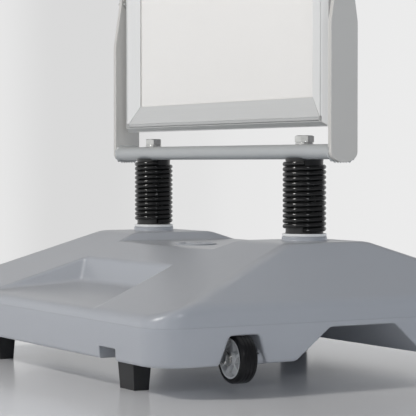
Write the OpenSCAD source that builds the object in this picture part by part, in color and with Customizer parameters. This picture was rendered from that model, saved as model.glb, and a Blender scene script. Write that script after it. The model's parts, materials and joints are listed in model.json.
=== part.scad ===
// Water base pavement sign: a moulded ballast tank on rubber feet with two tilt wheels,
// two close-wound springs, a welded steel bracket and a double-sided poster snap frame.
// Millimetres. X runs along the crossbar with the wheels at +X, -Y is the front, Z is up.
// The origin is on the floor, midway between the two springs.

/* [Ballast tank] */
// Length of the tank at its parting line
tank_len = 578; // [560:1:600]
// Width of the tank at its parting line
tank_wid = 494; // [480:1:520]
// Height of the two flat mound tops above the floor
tank_top_z = 149.8; // [146:0.2:156]
// Ground clearance under the skirt
skirt_z = 32; // [28:1:34]
// Height of the moulding's parting line
seam_z = 72; // [70:1:76]
// Plastic wall of the hollow tank
tank_wall = 4; // [3:0.5:5]
// Radius of the four vertical corners
corner_r = 38; // [25:1:45]
// Run of each end slope, from the parting line to the flat top
end_run = 67.5; // [62:0.5:74]
// Run of the front and back slopes, from the parting line to the flat top
side_run = 193; // [189:1:197]
// Slope of the two ends
end_slope = 41.6; // [38:0.2:45]
// Slope of the front and back
side_slope = 19.6; // [18:0.2:21]
// Draft of the skirt above the parting line
upper_draft = 4; // [2:0.5:6]
// Draft of the skirt below the parting line
lower_draft = 6.5; // [4:0.5:8]
// Radius of the shoulder between skirt and slopes
shoulder_r = 16; // [8:1:22]
// Radius along the edge of the flat top
crest_r = 20; // [8:1:30]

/* [Tank features] */
// Depth of the saddle between the two mounds
saddle_drop = 9; // [6:0.5:12]
// Length of the saddle floor
saddle_len = 226; // [200:1:240]
// Run of the saddle's sloping ends
saddle_run = 10; // [6:1:16]
// Half width of the front and back recess at its upper edge
recess_top = 107; // [90:1:120]
// Half width of the recess floor where it runs out
recess_foot = 150; // [130:1:170]
// Distance of the recess floor's inner edge from the centre line
recess_y = 139; // [132:1:150]
// Height of the recess floor at its inner edge
recess_z = 95; // [92:1:98]
// Fall of the recess floor to the shoulder
recess_fall = 11; // [9:1:13]
// Draft of the recess walls
recess_draft = 18; // [10:1:25]
// Half width of the lengthwise tunnel at its ceiling
tunnel_top = 41; // [34:1:48]
// Half width of the lengthwise tunnel at the skirt's lower edge
tunnel_foot = 81; // [70:1:86]
// Height of the tunnel's ceiling
tunnel_z = 66; // [60:1:68]
// Radius of the bolt wells that rise from the tunnel's ceiling
well_r = 20; // [18:0.5:22]
// Diameter of the round bosses under the springs
boss_d = 50; // [46:1:54]
// Height of the bosses above the flat top
boss_h = 5.7; // [4:0.1:7]
// Thickness of plastic between bolt well and boss top
boss_floor = 10; // [8:0.5:12]

/* [Filler] */
// Distance of the filler in front of the centre line
filler_y = 38; // [32:1:44]
// Bore of the filler neck
filler_d = 34; // [26:1:38]
// Diameter of the filler cap
cap_d = 49; // [44:1:52]
// Height of the filler cap's rim above the saddle floor
cap_proud = 1.6; // [0.8:0.2:3]
// Depth of the filler neck below the saddle floor
neck_depth = 20; // [16:1:24]
// Thickness of the sealing ring under the cap
seal_t = 1.6; // [1.2:0.2:2.4]

/* [Feet] */
// Distance of the feet from the centre, along the tank
foot_x = 173.4; // [165:0.2:182]
// Distance of the feet from the centre, across the tank
foot_y = 211; // [205:1:215]
// Length of a foot's sole
foot_len = 31.5; // [28:0.5:34]
// Width of a foot's sole
foot_wid = 17.5; // [14:0.5:20]
// Taper of a foot from sole to skirt, on each side
foot_flare = 2; // [0:0.5:3]
// Depth of the foot sockets above the skirt's lower edge
socket_h = 12.6; // [10:0.2:16]

/* [Tilt wheels] */
// Diameter of the tyres
wheel_d = 52; // [48:0.2:54]
// Width of the tyres
wheel_w = 20; // [18:0.5:22]
// Distance that the tyres stand out past the tank's end
wheel_proud = 10; // [7:0.5:12]
// Distance of the wheels from the centre line
wheel_y = 145; // [143:0.5:147]
// Height of the tyres above the floor while the sign stands on its feet
wheel_lift = 12; // [10:0.2:14]
// Thickness of the rubber tread
tread_t = 5.2; // [3:0.2:6]
// Diameter of the axle bolts
axle_d = 8; // [6:1:10]
// Number of ribs on each side of a hub
hub_ribs = 5; // [4:1:8]

/* [Springs] */
// Distance between the two spring axes
spring_gap = 350; // [340:1:360]
// Outer diameter of the springs
spring_od = 48.4; // [46:0.2:50]
// Diameter of the spring wire
wire_d = 5.2; // [4.6:0.1:5.2]
// Rise of the coil in one turn
coil_pitch = 5.68; // [5.65:0.01:5.8]
// Number of turns
coil_turns = 12.93; // [12.7:0.01:13]
// Thickness of the white washer under each spring
pad_t = 3.3; // [2.5:0.1:4]
// Distance between the white washer and the crossbar
spring_h = 83; // [82:0.5:86]
// Length of the spring plugs inside the coil
plug_len = 22; // [18:1:26]
// Thickness of the plug rim under the coil
plug_rim = 1.4; // [1:0.1:2]
// Diameter of the bolts that hold the springs
bolt_d = 12; // [10:1:12]

/* [Bracket] */
// Depth of the crossbar and width of the uprights
bar_w = 34.2; // [30:0.2:38]
// Height of the crossbar
bar_h = 15; // [14:0.5:18]
// Wall of the crossbar tube
bar_wall = 2; // [1.5:0.5:3]
// Thickness of the flat uprights
upright_t = 6.4; // [5:0.2:8]
// Distance that the uprights reach below the crossbar
upright_drop = 4.6; // [3:0.2:6]
// Height at which the uprights start to taper
taper_z = 387; // [370:1:400]
// Height at which the taper ends
neck_z = 443; // [440:1:460]
// Width of the uprights above the taper
neck_w = 17; // [16:0.5:19]
// Height of the lower panel bolts
low_bolt_z = 443; // [443:1:450]
// Distance between the lower and the upper panel bolts
bolt_rise = 120; // [100:1:140]
// Gap between the poster frame and an upright
side_gap = 14.5; // [13:0.5:17]
// Gap between the crossbar and the poster frame
frame_lift = 19.2; // [16:0.2:24]

/* [Poster frame] */
// Width of the poster sheet
poster_w = 420; // [410:1:426]
// Height of the poster sheet
poster_h = 594; // [580:1:605]
// Face width of the frame
rail_w = 32; // [30:0.5:34]
// Width of poster that the frame covers
poster_lap = 10; // [8:0.5:11]
// Thickness of the double-sided frame
frame_t = 24; // [23:0.2:27]
// Wall of the aluminium sections
skin = 1.3; // [1.1:0.1:1.5]
// Width of the bevel along a flap's inner edge
bevel_w = 5; // [3:0.5:7]
// Depth that the bevel falls towards the poster
bevel_drop = 2; // [1:0.2:3]
// Radius of the flaps' hinge beads
bead_r = 2.4; // [2.2:0.1:2.6]
// Thickness of the backing board
board_t = 5; // [4:0.2:5.2]
// Thickness of the clear cover sheets
cover_t = 0.6; // [0.4:0.1:0.8]
// Thickness of the poster sheets
poster_t = 0.25; // [0.2:0.05:0.4]

/* [Hidden] */

$fn = 48;
big = 2000;
seat = 0.3;      // gap between pieces that seat on each other
fit = 0.08;      // radial clearance of a running fit
press = 0.02;    // radial clearance of a piece that doesn't turn

// Length and width of the tank's flat top
plateau_len = tank_len - 2 * end_run;
plateau_wid = tank_wid - 2 * side_run;

// Levels of the stack from the tank to the poster frame
boss_z = tank_top_z + boss_h;
saddle_z = tank_top_z - saddle_drop;
pad_z = boss_z + pad_t;
bar_z = pad_z + spring_h;
bar_top_z = bar_z + bar_h;
frame_w = poster_w + 2 * (rail_w - poster_lap);
frame_h = poster_h + 2 * (rail_w - poster_lap);
frame_z = bar_top_z + frame_lift;
frame_mid_z = frame_z + frame_h / 2;
upright_in = frame_w / 2 + side_gap;
spring_x = spring_gap / 2;
spring_r = spring_od / 2 - wire_d / 2;
plug_r = spring_r - wire_d / 2 - 0.9;
collar_r = spring_r - 0.6;
wheel_r = wheel_d / 2;
axle_x = tank_len / 2 + wheel_proud - wheel_r;
axle_z = wheel_lift + wheel_r;
hub_r = wheel_r - tread_t;

// Hexagon heads and nuts: width across flats and heights for the bolts used
spring_hex = 1.58 * bolt_d;
spring_head_h = 0.625 * bolt_d;
spring_nut_h = 0.83 * bolt_d;
axle_hex = 1.62 * axle_d;
axle_head_h = 0.66 * axle_d;
panel_d = 8;
panel_hex = 13;
panel_head_h = 5.3;
panel_nut_h = 6.4;

colour_tank = [0.60, 0.62, 0.65];
colour_black = [0.07, 0.07, 0.07];
colour_zinc = [0.80, 0.81, 0.80];
colour_steel = [0.62, 0.63, 0.63];
colour_alu = [0.80, 0.80, 0.79];
colour_white = [0.93, 0.92, 0.90];

// Outline helpers

function unit(v) = v / norm(v);
function left_of(v) = [-v[1], v[0]];
function signed_turn(a) = a > 180 ? a - 360 : a < -180 ? a + 360 : a;
function wrap(i, n) = (i + n) % n;

// One corner of an outline moved inwards by g
function inset_corner(a, b, c, g) =
    let (n1 = left_of(unit(b - a)), n2 = left_of(unit(c - b)))
    b + g * (n1 + n2) / (1 + n1 * n2);

// A counter-clockwise convex outline moved inwards by g, or outwards where g is negative
function inset(pts, g) =
    let (n = len(pts))
    [for (i = [0 : n - 1]) inset_corner(pts[wrap(i - 1, n)], pts[i], pts[wrap(i + 1, n)], g)];

// The arc that rounds corner b between neighbours a and c
function corner_arc(a, b, c, r, steps) =
    r <= 0 ? [b] :
    let (
        u = unit(a - b),
        v = unit(c - b),
        half = acos(u * v) / 2,
        centre = b + unit(u + v) * r / sin(half),
        p = b + u * r / tan(half) - centre,
        q = b + v * r / tan(half) - centre,
        start = atan2(p[1], p[0]),
        sweep = signed_turn(atan2(q[1], q[0]) - start)
    )
    [for (i = [0 : steps]) centre + r * [cos(start + sweep * i / steps), sin(start + sweep * i / steps)]];

// An outline with every corner rounded to its own radius
function rounded(pts, radii, steps = 5) =
    let (n = len(pts))
    [for (i = [0 : n - 1])
        each corner_arc(pts[wrap(i - 1, n)], pts[i], pts[wrap(i + 1, n)], radii[i], steps)];

// The right half of an outline closed by its mirror image
function both_sides(half) =
    concat(half, [for (i = [len(half) - 1 : -1 : 0]) [-half[i][0], half[i][1]]]);

function reversed(list) = [for (i = [len(list) - 1 : -1 : 0]) list[i]];

// Shape helpers

// Extrudes an outline of (Y, Z) points along X
module along_x(length) {
    rotate([90, 0, 90]) linear_extrude(length, center = true) children();
}

// Extrudes an outline of (X, Z) points along Y
module along_y(length) {
    rotate([90, 0, 0]) linear_extrude(length, center = true) children();
}

module mirrored_y() {
    children();
    mirror([0, 1, 0]) children();
}

module mirrored_x() {
    children();
    mirror([1, 0, 0]) children();
}

module at_springs() {
    for (side = [-1, 1]) translate([side * spring_x, 0, 0]) children();
}

module at_corners() {
    for (sx = [-1, 1], sy = [-1, 1]) translate([sx * foot_x, sy * foot_y, 0]) children();
}

// A body between two four-sided outlines, both counter-clockwise from above
module four_sided(low, high) {
    sides = [for (i = [0 : 3])
        let (j = (i + 1) % 4)
        each [[i + 4, j + 4, j], [i + 4, j, i]]];
    polyhedron(concat(low, high), concat([[0, 1, 2], [0, 2, 3], [6, 5, 4], [7, 6, 4]], sides));
}

module rounded_block(length, width, height, r) {
    linear_extrude(height) rounded_plan(length, width, r);
}

module rounded_plan(length, width, r) {
    square([length - 2 * r, width], center = true);
    square([length, width - 2 * r], center = true);
    for (sx = [-1, 1], sy = [-1, 1]) {
        translate([sx * (length / 2 - r), sy * (width / 2 - r)]) circle(r);
    }
}

// A hexagon bolt head or nut, flats apart by width
module hexagon(width, height) {
    cylinder(h = height, d = width / cos(30), $fn = 6);
}

// A hexagon head with its chamfered top
module bolt_head(width, height) {
    intersection() {
        hexagon(width, height);
        cylinder(h = height, d1 = width / cos(30) + 2 * height, d2 = width * 0.94);
    }
}

// Tank outlines

// Half lengths of the skirt at its lower edge, and of the shoulder where skirt and slope meet
function skirt_half(seam_half) = seam_half - (seam_z - skirt_z) * tan(lower_draft);
function shoulder_z(seam_half, top_half, slope) =
    let (ts = tan(slope), td = tan(upper_draft))
    (tank_top_z - ts * (seam_half - top_half) - ts * td * seam_z) / (1 - ts * td);

// The shoulder's radius, kept short of the parting line
function shoulder_radius(z, slope) =
    min(shoulder_r, 0.95 * (z - seam_z) / tan((90 - upper_draft - slope) / 2));

// The tank's outline seen along one axis, moved inwards by g
function tank_outline(seam_half, top_half, slope, g) =
    let (
        z = shoulder_z(seam_half, top_half, slope),
        half = [
            [skirt_half(seam_half), skirt_z],
            [seam_half, seam_z],
            [seam_half - (z - seam_z) * tan(upper_draft), z],
            [top_half, tank_top_z]
        ],
        radii = [3, 0, max(shoulder_radius(z, slope) - g, 1), max(crest_r - g, 1)]
    )
    rounded(inset(both_sides(half), g), concat(radii, reversed(radii)));

module tank_hull(g) {
    intersection() {
        along_y(big) polygon(tank_outline(tank_len / 2, plateau_len / 2, end_slope, g));
        along_x(big) polygon(tank_outline(tank_wid / 2, plateau_wid / 2, side_slope, g));
        rounded_block(tank_len - 2 * g, tank_wid - 2 * g, 2 * tank_top_z, corner_r - g);
    }
}

// The low saddle between the mounds
module saddle_cut(g) {
    rise = 3;
    slant = saddle_run * rise;
    floor_half = saddle_len / 2;
    outline = [
        [-floor_half, saddle_z],
        [floor_half, saddle_z],
        [floor_half + slant, saddle_z + saddle_drop * rise],
        [-floor_half - slant, saddle_z + saddle_drop * rise]
    ];
    along_y(big) polygon(rounded(inset(outline, -g), [6 + g, 6 + g, 0, 0]));
}

// The sunk panel in the front slope, open towards the shoulder
module recess_cut(g) {
    reach = 60;
    flare = reach * tan(recess_draft);
    out_y = tank_wid / 2 + 5;
    back = recess_y - g;
    z_in = recess_z - g;
    z_out = recess_z - recess_fall * (out_y - recess_y) / (tank_wid / 2 - recess_y) - g;
    in_half = recess_top - (recess_foot - recess_top) * 0.2 + g;
    out_half = recess_foot + g;
    low = [
        [-in_half, -back, z_in],
        [-out_half, -out_y, z_out],
        [out_half, -out_y, z_out],
        [in_half, -back, z_in]
    ];
    high = [
        [-in_half - flare, -back + flare, z_in + reach],
        [-out_half - flare, -out_y, z_out + reach],
        [out_half + flare, -out_y, z_out + reach],
        [in_half + flare, -back + flare, z_in + reach]
    ];
    four_sided(low, high);
}

// The lengthwise tunnel under the tank
module tunnel_cut(g) {
    below = 20;
    spread = (tunnel_foot - tunnel_top) / (tunnel_z - skirt_z);
    foot_half = tunnel_foot + below * spread;
    outline = [
        [-foot_half, skirt_z - below],
        [foot_half, skirt_z - below],
        [tunnel_top, tunnel_z],
        [-tunnel_top, tunnel_z]
    ];
    along_x(big) polygon(rounded(inset(outline, -g), [0, 0, 5 + g, 5 + g]));
}

pocket_foot = wheel_w / 2 + 17.5;
pocket_top = wheel_w / 2 + 6;
pocket_z = axle_z + wheel_r + 1.6;
pocket_in = axle_x - wheel_r - 3.5;

// The pocket that a tilt wheel runs in
module pocket_cut(g) {
    below = 20;
    spread = (pocket_foot - pocket_top) / (pocket_z - skirt_z);
    foot_half = pocket_foot + below * spread;
    outline = [
        [-foot_half, skirt_z - below],
        [foot_half, skirt_z - below],
        [pocket_top, pocket_z],
        [-pocket_top, pocket_z]
    ];
    reach = tank_len / 2 - pocket_in + wheel_r;
    translate([pocket_in - g + reach / 2, -wheel_y, 0])
        along_x(reach) polygon(rounded(inset(outline, -g), [0, 0, 6 + g, 6 + g]));
}

socket_len = foot_len + 2 * foot_flare + 0.6;
socket_wid = foot_wid + 2 * foot_flare + 0.6;
socket_r = 4;

// The socket of a foot, open to the outer face of the skirt
module socket_cut(g) {
    out_y = tank_wid / 2 + 5;
    in_y = foot_y - socket_wid / 2 - g;
    span = out_y - in_y;
    half = socket_len / 2 + g;
    outline = [
        [-half, skirt_z - 10],
        [half, skirt_z - 10],
        [half, skirt_z + socket_h + g],
        [-half, skirt_z + socket_h + g]
    ];
    translate([foot_x, -in_y - span / 2, 0])
        along_y(span) polygon(rounded(outline, [0, 0, socket_r + g, socket_r + g]));
}

well_z = boss_z - boss_floor;

module well_cut(g) {
    translate([0, 0, tunnel_z - 1]) cylinder(h = well_z + g - tunnel_z + 1, r = well_r + g);
}

boss_spread = 7;

// The round boss that a spring stands on, with its hollow foot radius
module boss() {
    r = boss_d / 2;
    foot = [r + boss_spread, tank_top_z - 2];
    rotate_extrude($fn = 64) polygon(concat(
        [[0, tank_top_z - 2], foot],
        corner_arc([r + boss_spread, tank_top_z], [r, tank_top_z], [r, boss_z], boss_h * 0.8, 4),
        [[r, boss_z - 0.6], [r - 0.6, boss_z], [0, boss_z]]
    ));
}

neck_r = filler_d / 2;
sink_d = cap_d + 1.6;
cap_t = cap_proud + 3;
seal_z = saddle_z + cap_proud - cap_t - seal_t;
insert_r = axle_d / 2 + 1.5;
stub_y = wheel_y - wheel_w / 2 - 1 - seat;
stub_in_y = wheel_y - pocket_foot - 8;

// Solid walls that the hollow leaves round holes and inserts
module tank_cores(g) {
    for (side = [-1, 1]) translate([side * spring_x, 0, 0]) {
        well_cut(g);
        translate([0, 0, well_z]) cylinder(h = big, r = well_r + g);
    }
    translate([0, -filler_y, saddle_z - neck_depth]) cylinder(h = big, r = neck_r + g);
    translate([0, -filler_y, seal_z - g]) cylinder(h = big, d = sink_d + 2 * g);
    mirrored_y() translate([axle_x, -stub_in_y, axle_z])
        rotate([90, 0, 0]) cylinder(h = 2 * (stub_y - stub_in_y) + 3 * g, r = insert_r + 2 * g, center = true);
}

// The skin of the tank: its outer form, or with g its hollow
module tank_form(g) {
    difference() {
        tank_hull(g);
        saddle_cut(g);
        tunnel_cut(g);
        mirrored_y() {
            recess_cut(g);
            pocket_cut(g);
            mirrored_x() socket_cut(g);
        }
    }
}

module tank() {
    color(colour_tank) difference() {
        union() {
            difference() {
                tank_form(0);
                difference() {
                    tank_form(tank_wall);
                    tank_cores(tank_wall);
                }
            }
            at_springs() boss();
            mirrored_y() translate([axle_x, -stub_y, axle_z])
                rotate([-90, 0, 0]) cylinder(h = stub_y - stub_in_y, r = insert_r + 2);
        }
        at_springs() {
            well_cut(0);
            cylinder(h = big, d = bolt_d + 1);
        }
        translate([0, -filler_y, saddle_z - neck_depth - tank_wall]) cylinder(h = big, r = neck_r);
        translate([0, -filler_y, seal_z]) cylinder(h = big, d = sink_d);
        mirrored_y() translate([axle_x, -stub_y, axle_z])
            rotate([-90, 0, 0]) translate([0, 0, -1]) cylinder(h = insert_len + 1, r = insert_r + press);
    }
}

// Filler cap and seal

cap_skirt_r = neck_r - fit;
cap_skirt_h = 12;
grip_w = 5;

module filler_cap() {
    top_z = saddle_z + cap_proud;
    color(colour_tank) translate([0, -filler_y, 0]) difference() {
        union() {
            rotate_extrude($fn = 64) polygon([
                [0, top_z - cap_t],
                [cap_d / 2, top_z - cap_t],
                [cap_d / 2, top_z - 1],
                [cap_d / 2 - 1, top_z],
                [0, top_z]
            ]);
            translate([0, 0, seal_z - cap_skirt_h]) cylinder(h = cap_skirt_h + 3, r = cap_skirt_r);
        }
        translate([0, 0, top_z - 2]) difference() {
            cylinder(h = 5, r = cap_d / 2 - 4);
            cube([cap_d, grip_w, 20], center = true);
        }
        translate([0, 0, seal_z - cap_skirt_h - 1]) cylinder(h = cap_skirt_h, r = cap_skirt_r - 2.5);
    }
}

module filler_seal() {
    color(colour_black) translate([0, -filler_y, seal_z]) difference() {
        cylinder(h = seal_t, d = cap_d - 1);
        translate([0, 0, -1]) cylinder(h = seal_t + 2, r = cap_skirt_r + seat);
    }
}

// Feet

module foot() {
    top_z = skirt_z + socket_h - press;
    half_l = foot_len / 2;
    half_w = foot_wid / 2;
    sole = [[-half_l, -half_w], [half_l, -half_w], [half_l, half_w], [-half_l, half_w]];
    head = inset(sole, -foot_flare);
    head_l = half_l + foot_flare;
    stem = [[-head_l, 0], [head_l, 0], [head_l, top_z], [-head_l, top_z]];
    four_sided([for (p = sole) [p[0], p[1], 0]], [for (p = head) [p[0], p[1], skirt_z]]);
    intersection() {
        translate([0, 0, skirt_z]) linear_extrude(socket_h)
            rounded_plan(2 * head_l, foot_wid + 2 * foot_flare, 2);
        along_y(2 * foot_wid) polygon(rounded(stem, [0, 0, socket_r, socket_r]));
    }
}

module feet() {
    color(colour_black) at_corners() foot();
}

// Tilt wheels

module on_axle(side) {
    translate([axle_x, side * wheel_y, axle_z]) rotate([-90 * side, 0, 0]) children();
}

module tyre(side) {
    groove = 0.9;
    groove_w = 1.2;
    half = wheel_w / 2;
    edge = 4;
    color(colour_black) on_axle(side) rotate_extrude($fn = 72) difference() {
        polygon(rounded(
            [[hub_r + press, -half], [wheel_r, -half], [wheel_r, half], [hub_r + press, half]],
            [0, edge, edge, 0]
        ));
        for (z = [-groove_w * 3, 0, groove_w * 3]) {
            translate([wheel_r - groove, z - groove_w / 2]) square([2, groove_w]);
        }
    }
}

module hub(side) {
    rim_t = 2.2;
    boss_r = axle_d / 2 + 3.2;
    half = wheel_w / 2;
    color(colour_zinc) on_axle(side) difference() {
        union() {
            rotate_extrude($fn = 72) translate([hub_r - rim_t, -half + 0.5]) square([rim_t, wheel_w - 1]);
            cylinder(h = 3, r = hub_r - rim_t / 2, center = true);
            cylinder(h = wheel_w + 2, r = boss_r, center = true);
            for (i = [0 : hub_ribs - 1]) rotate([0, 0, 90 + i * 360 / hub_ribs])
                translate([0, -1, -half + 4]) cube([hub_r - rim_t / 2, 2, wheel_w - 8]);
        }
        cylinder(h = wheel_w + 4, r = axle_d / 2 + fit, center = true);
    }
}

insert_len = 18;
axle_tip = wheel_w / 2 + 1 + seat + insert_len - 1;
washer_t = 1.6;
axle_head_at = wheel_w / 2 + 1 + seat;

module tyre_front() { tyre(-1); }
module tyre_back() { tyre(1); }
module hub_front() { hub(-1); }
module hub_back() { hub(1); }

module axle_bolts() {
    head_at = axle_head_at + washer_t + press;
    color(colour_zinc) for (side = [-1, 1]) on_axle(side) {
        translate([0, 0, -axle_tip]) cylinder(h = axle_tip + head_at, d = axle_d);
        translate([0, 0, head_at]) bolt_head(axle_hex, axle_head_h);
    }
}

module axle_washers() {
    color(colour_zinc) for (side = [-1, 1]) on_axle(side) translate([0, 0, axle_head_at]) difference() {
        cylinder(h = washer_t, r = axle_d);
        translate([0, 0, -1]) cylinder(h = washer_t + 2, r = axle_d / 2 + fit);
    }
}

module axle_inserts() {
    color("goldenrod") for (side = [-1, 1]) on_axle(side)
        translate([0, 0, -(wheel_w / 2 + 1 + seat) - insert_len + press]) difference() {
            cylinder(h = insert_len - 2 * press, r = insert_r);
            translate([0, 0, -1]) cylinder(h = insert_len + 2, r = axle_d / 2 + fit);
        }
}

// Springs and their plugs

coil_start_z = pad_z + plug_rim + wire_d / 2;
coil_end_z = coil_start_z + coil_turns * coil_pitch;
upper_rim = bar_z - coil_end_z - wire_d / 2;
left_start = -2;
right_start = -22;
rings_per_turn = 16;
wire_sides = 6;

function start_angle(side) = side < 0 ? left_start : right_start;

// Centre line of the coil as [angle, height], then the tube's rings round it
function coil_ring(angle, z) =
    let (rise = coil_pitch / (2 * PI * spring_r), lean = atan(rise))
    [for (k = [0 : wire_sides - 1])
        let (
            a = 360 * k / wire_sides,
            out = wire_d / 2 * cos(a),
            up = wire_d / 2 * sin(a),
            r = spring_r + out,
            along = -up * sin(lean)
        )
        [r * cos(angle) - along * sin(angle), r * sin(angle) + along * cos(angle), z + up * cos(lean)]];

// A ring moved straight along the wire's own direction by d
function straight_on(ring, angle, d) =
    let (lean = atan(coil_pitch / (2 * PI * spring_r)))
    [for (p = ring) p + d * [-sin(angle) * cos(lean), cos(angle) * cos(lean), sin(lean)]];

function coil_rings(start) =
    let (
        steps = round(coil_turns * rings_per_turn),
        first = coil_ring(start, coil_start_z),
        last = coil_ring(start + coil_turns * 360, coil_start_z + coil_turns * coil_pitch)
    )
    concat(
        [straight_on(first, start, -wire_d)],
        [for (i = [0 : steps])
            coil_ring(start + coil_turns * 360 * i / steps, coil_start_z + coil_turns * coil_pitch * i / steps)],
        [straight_on(last, start + coil_turns * 360, wire_d)]
    );

// A closed tube through a list of rings, in triangles
module tube(rings) {
    n = len(rings);
    s = len(rings[0]);
    points = [for (ring = rings) each ring];
    walls = [for (i = [0 : n - 2], k = [0 : s - 1])
        let (a = i * s + k, b = i * s + (k + 1) % s)
        each [[a, b, b + s], [a, b + s, a + s]]];
    foot = [for (k = [1 : s - 2]) [0, k + 1, k]];
    head = [for (k = [1 : s - 2]) [(n - 1) * s, (n - 1) * s + k, (n - 1) * s + k + 1]];
    polyhedron(points, concat(walls, foot, head));
}

// The least distance between points of neighbouring turns
function least_gap(rings) =
    min([for (i = [0 : len(rings) - rings_per_turn - 1], j = [-1 : 1], p = rings[i])
        let (other = i + rings_per_turn + j)
        other < len(rings) ? min([for (q = rings[other]) norm(p - q)]) : big]);

module spring(side) {
    rings = coil_rings(start_angle(side));
    echo(str("least gap between turns: ", least_gap(rings), " mm"));
    color(colour_black) translate([side * spring_x, 0, 0]) tube(rings);
}

module spring_left() { spring(-1); }
module spring_right() { spring(1); }

// The plug's collar, a ramp that fills the space under the coil's end turn
module ramp(start) {
    steps = 22;
    lead = 25;
    tail = 360 * wire_d / (2 * PI * spring_r) + 3;
    inner = plug_r - 2;
    outer = collar_r - 0.2;
    rings = [for (i = [0 : steps])
        let (turn = lead + (360 - lead - tail) * i / steps, a = start + turn, h = coil_pitch * turn / 360)
        [
            [inner * cos(a), inner * sin(a), -plug_rim / 2],
            [outer * cos(a), outer * sin(a), -plug_rim / 2],
            [outer * cos(a), outer * sin(a), h],
            [inner * cos(a), inner * sin(a), h]
        ]];
    tube(rings);
}

// A plug standing at z = 0 with its collar down, bored for the bolt, with a hexagon pocket at its end
module plug(start, rim) {
    difference() {
        union() {
            rotate_extrude() polygon([
                [0, 0],
                [plug_r, 0],
                [plug_r, plug_len + rim - 1.5],
                [plug_r - 1.5, plug_len + rim],
                [0, plug_len + rim]
            ]);
            cylinder(h = rim, r = collar_r);
            translate([0, 0, rim]) ramp(start);
        }
        translate([0, 0, -1]) cylinder(h = plug_len + rim + 2, d = bolt_d + 0.4);
        translate([0, 0, pocket_floor(rim)]) hexagon(spring_hex + 0.4, spring_nut_h + 2);
    }
}

function pocket_floor(rim) = plug_len + rim - spring_nut_h - 1;

module lower_plugs() {
    color(colour_black) for (side = [-1, 1])
        translate([side * spring_x, 0, pad_z]) plug(start_angle(side), plug_rim);
}

// Turned over, a plug's ramp follows the coil down from its upper end
module upper_plugs() {
    color(colour_black) for (side = [-1, 1])
        let (end = start_angle(side) + coil_turns * 360)
        translate([side * spring_x, 0, bar_z]) rotate([180, 0, 0]) plug(-end, upper_rim);
}

module spring_pads() {
    color(colour_white) at_springs() translate([0, 0, boss_z]) difference() {
        rotate_extrude($fn = 64) polygon([
            [0, 0],
            [boss_d / 2 - 1.1, 0],
            [boss_d / 2 - 0.5, 0.6],
            [boss_d / 2 - 0.5, pad_t - 0.6],
            [boss_d / 2 - 1.1, pad_t],
            [0, pad_t]
        ]);
        translate([0, 0, -1]) cylinder(h = pad_t + 2, d = bolt_d + 1);
    }
}

// Bolts of the lower plugs, reached through the wells in the tunnel's ceiling

well_washer_t = 2.5;
lower_nut_z = pad_z + pocket_floor(plug_rim) + press;

module lower_bolts() {
    under = well_z - well_washer_t;
    color(colour_zinc) at_springs() {
        translate([0, 0, under - spring_head_h]) rotate([180, 0, 0])
            translate([0, 0, -spring_head_h]) bolt_head(spring_hex, spring_head_h);
        translate([0, 0, under]) cylinder(h = lower_nut_z + spring_nut_h + 1 - under, d = bolt_d);
    }
}

module lower_washers() {
    color(colour_zinc) at_springs() translate([0, 0, well_z - well_washer_t]) difference() {
        cylinder(h = well_washer_t, r = well_r - 2);
        translate([0, 0, -1]) cylinder(h = well_washer_t + 2, d = bolt_d + 1);
    }
}

module spring_nut() {
    difference() {
        hexagon(spring_hex, spring_nut_h);
        translate([0, 0, -1]) cylinder(h = spring_nut_h + 2, r = bolt_d / 2 + fit);
    }
}

module lower_nuts() {
    color(colour_zinc) at_springs() translate([0, 0, lower_nut_z]) spring_nut();
}

// Bolts of the upper plugs, with their heads on the crossbar

lock_t = 2.5;
upper_nut_z = bar_z - pocket_floor(upper_rim) - press - spring_nut_h;

module upper_bolts() {
    top = bar_top_z + lock_t;
    color(colour_zinc) at_springs() {
        translate([0, 0, top]) bolt_head(spring_hex, spring_head_h);
        translate([0, 0, upper_nut_z - 1]) cylinder(h = top - upper_nut_z + 1, d = bolt_d);
    }
}

module lock_washers() {
    color(colour_zinc) at_springs() translate([0, 0, bar_top_z]) difference() {
        cylinder(h = lock_t, d = spring_hex + 1);
        translate([0, 0, -1]) cylinder(h = lock_t + 2, d = bolt_d + 0.6);
        translate([-1, 0, -1]) cube([2, spring_hex, lock_t + 2]);
    }
}

module upper_nuts() {
    color(colour_zinc) at_springs() translate([0, 0, upper_nut_z]) spring_nut();
}

// Bracket

// The crossbar's flat oval section, centred, moved inwards by g
module bar_section(g) {
    r = bar_h / 2;
    square([bar_w - 2 * r, bar_h - 2 * g], center = true);
    for (side = [-1, 1]) translate([side * (bar_w / 2 - r), 0]) circle(r - g);
}

module crossbar() {
    color(colour_steel) difference() {
        translate([0, 0, bar_z + bar_h / 2]) difference() {
            along_x(2 * upright_in) bar_section(0);
            along_x(2 * upright_in + 2) bar_section(bar_wall);
        }
        at_springs() translate([0, 0, bar_z - 1]) cylinder(h = bar_h + 2, d = bolt_d + 0.6);
    }
}

upright_top_z = low_bolt_z + bolt_rise + neck_w / 2;

// A flat upright with a round foot, a taper and a round tip
module upright(side) {
    half = bar_w / 2;
    tip = neck_w / 2;
    slant = 8;
    foot_r = 0.7 * bar_w;
    side_r = 9;
    taper_r = 40;
    low = bar_z - upright_drop - 2.4;
    outline = rounded(
        [
            [0, low],
            [half, low + slant],
            [half, taper_z],
            [tip, neck_z],
            [tip, upright_top_z],
            [-tip, upright_top_z],
            [-tip, neck_z],
            [-half, taper_z],
            [-half, low + slant]
        ],
        [foot_r, side_r, taper_r, taper_r, tip - 0.05, tip - 0.05, taper_r, taper_r, side_r],
        6
    );
    color(colour_steel) difference() {
        translate([side * (upright_in + upright_t / 2), 0, 0]) along_x(upright_t) polygon(outline);
        for (z = [low_bolt_z, low_bolt_z + bolt_rise]) translate([0, 0, z])
            rotate([0, 90, 0]) cylinder(h = big, d = panel_d + 0.6, center = true);
    }
}

module upright_left() { upright(-1); }
module upright_right() { upright(1); }

bead_w = 3;

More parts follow.
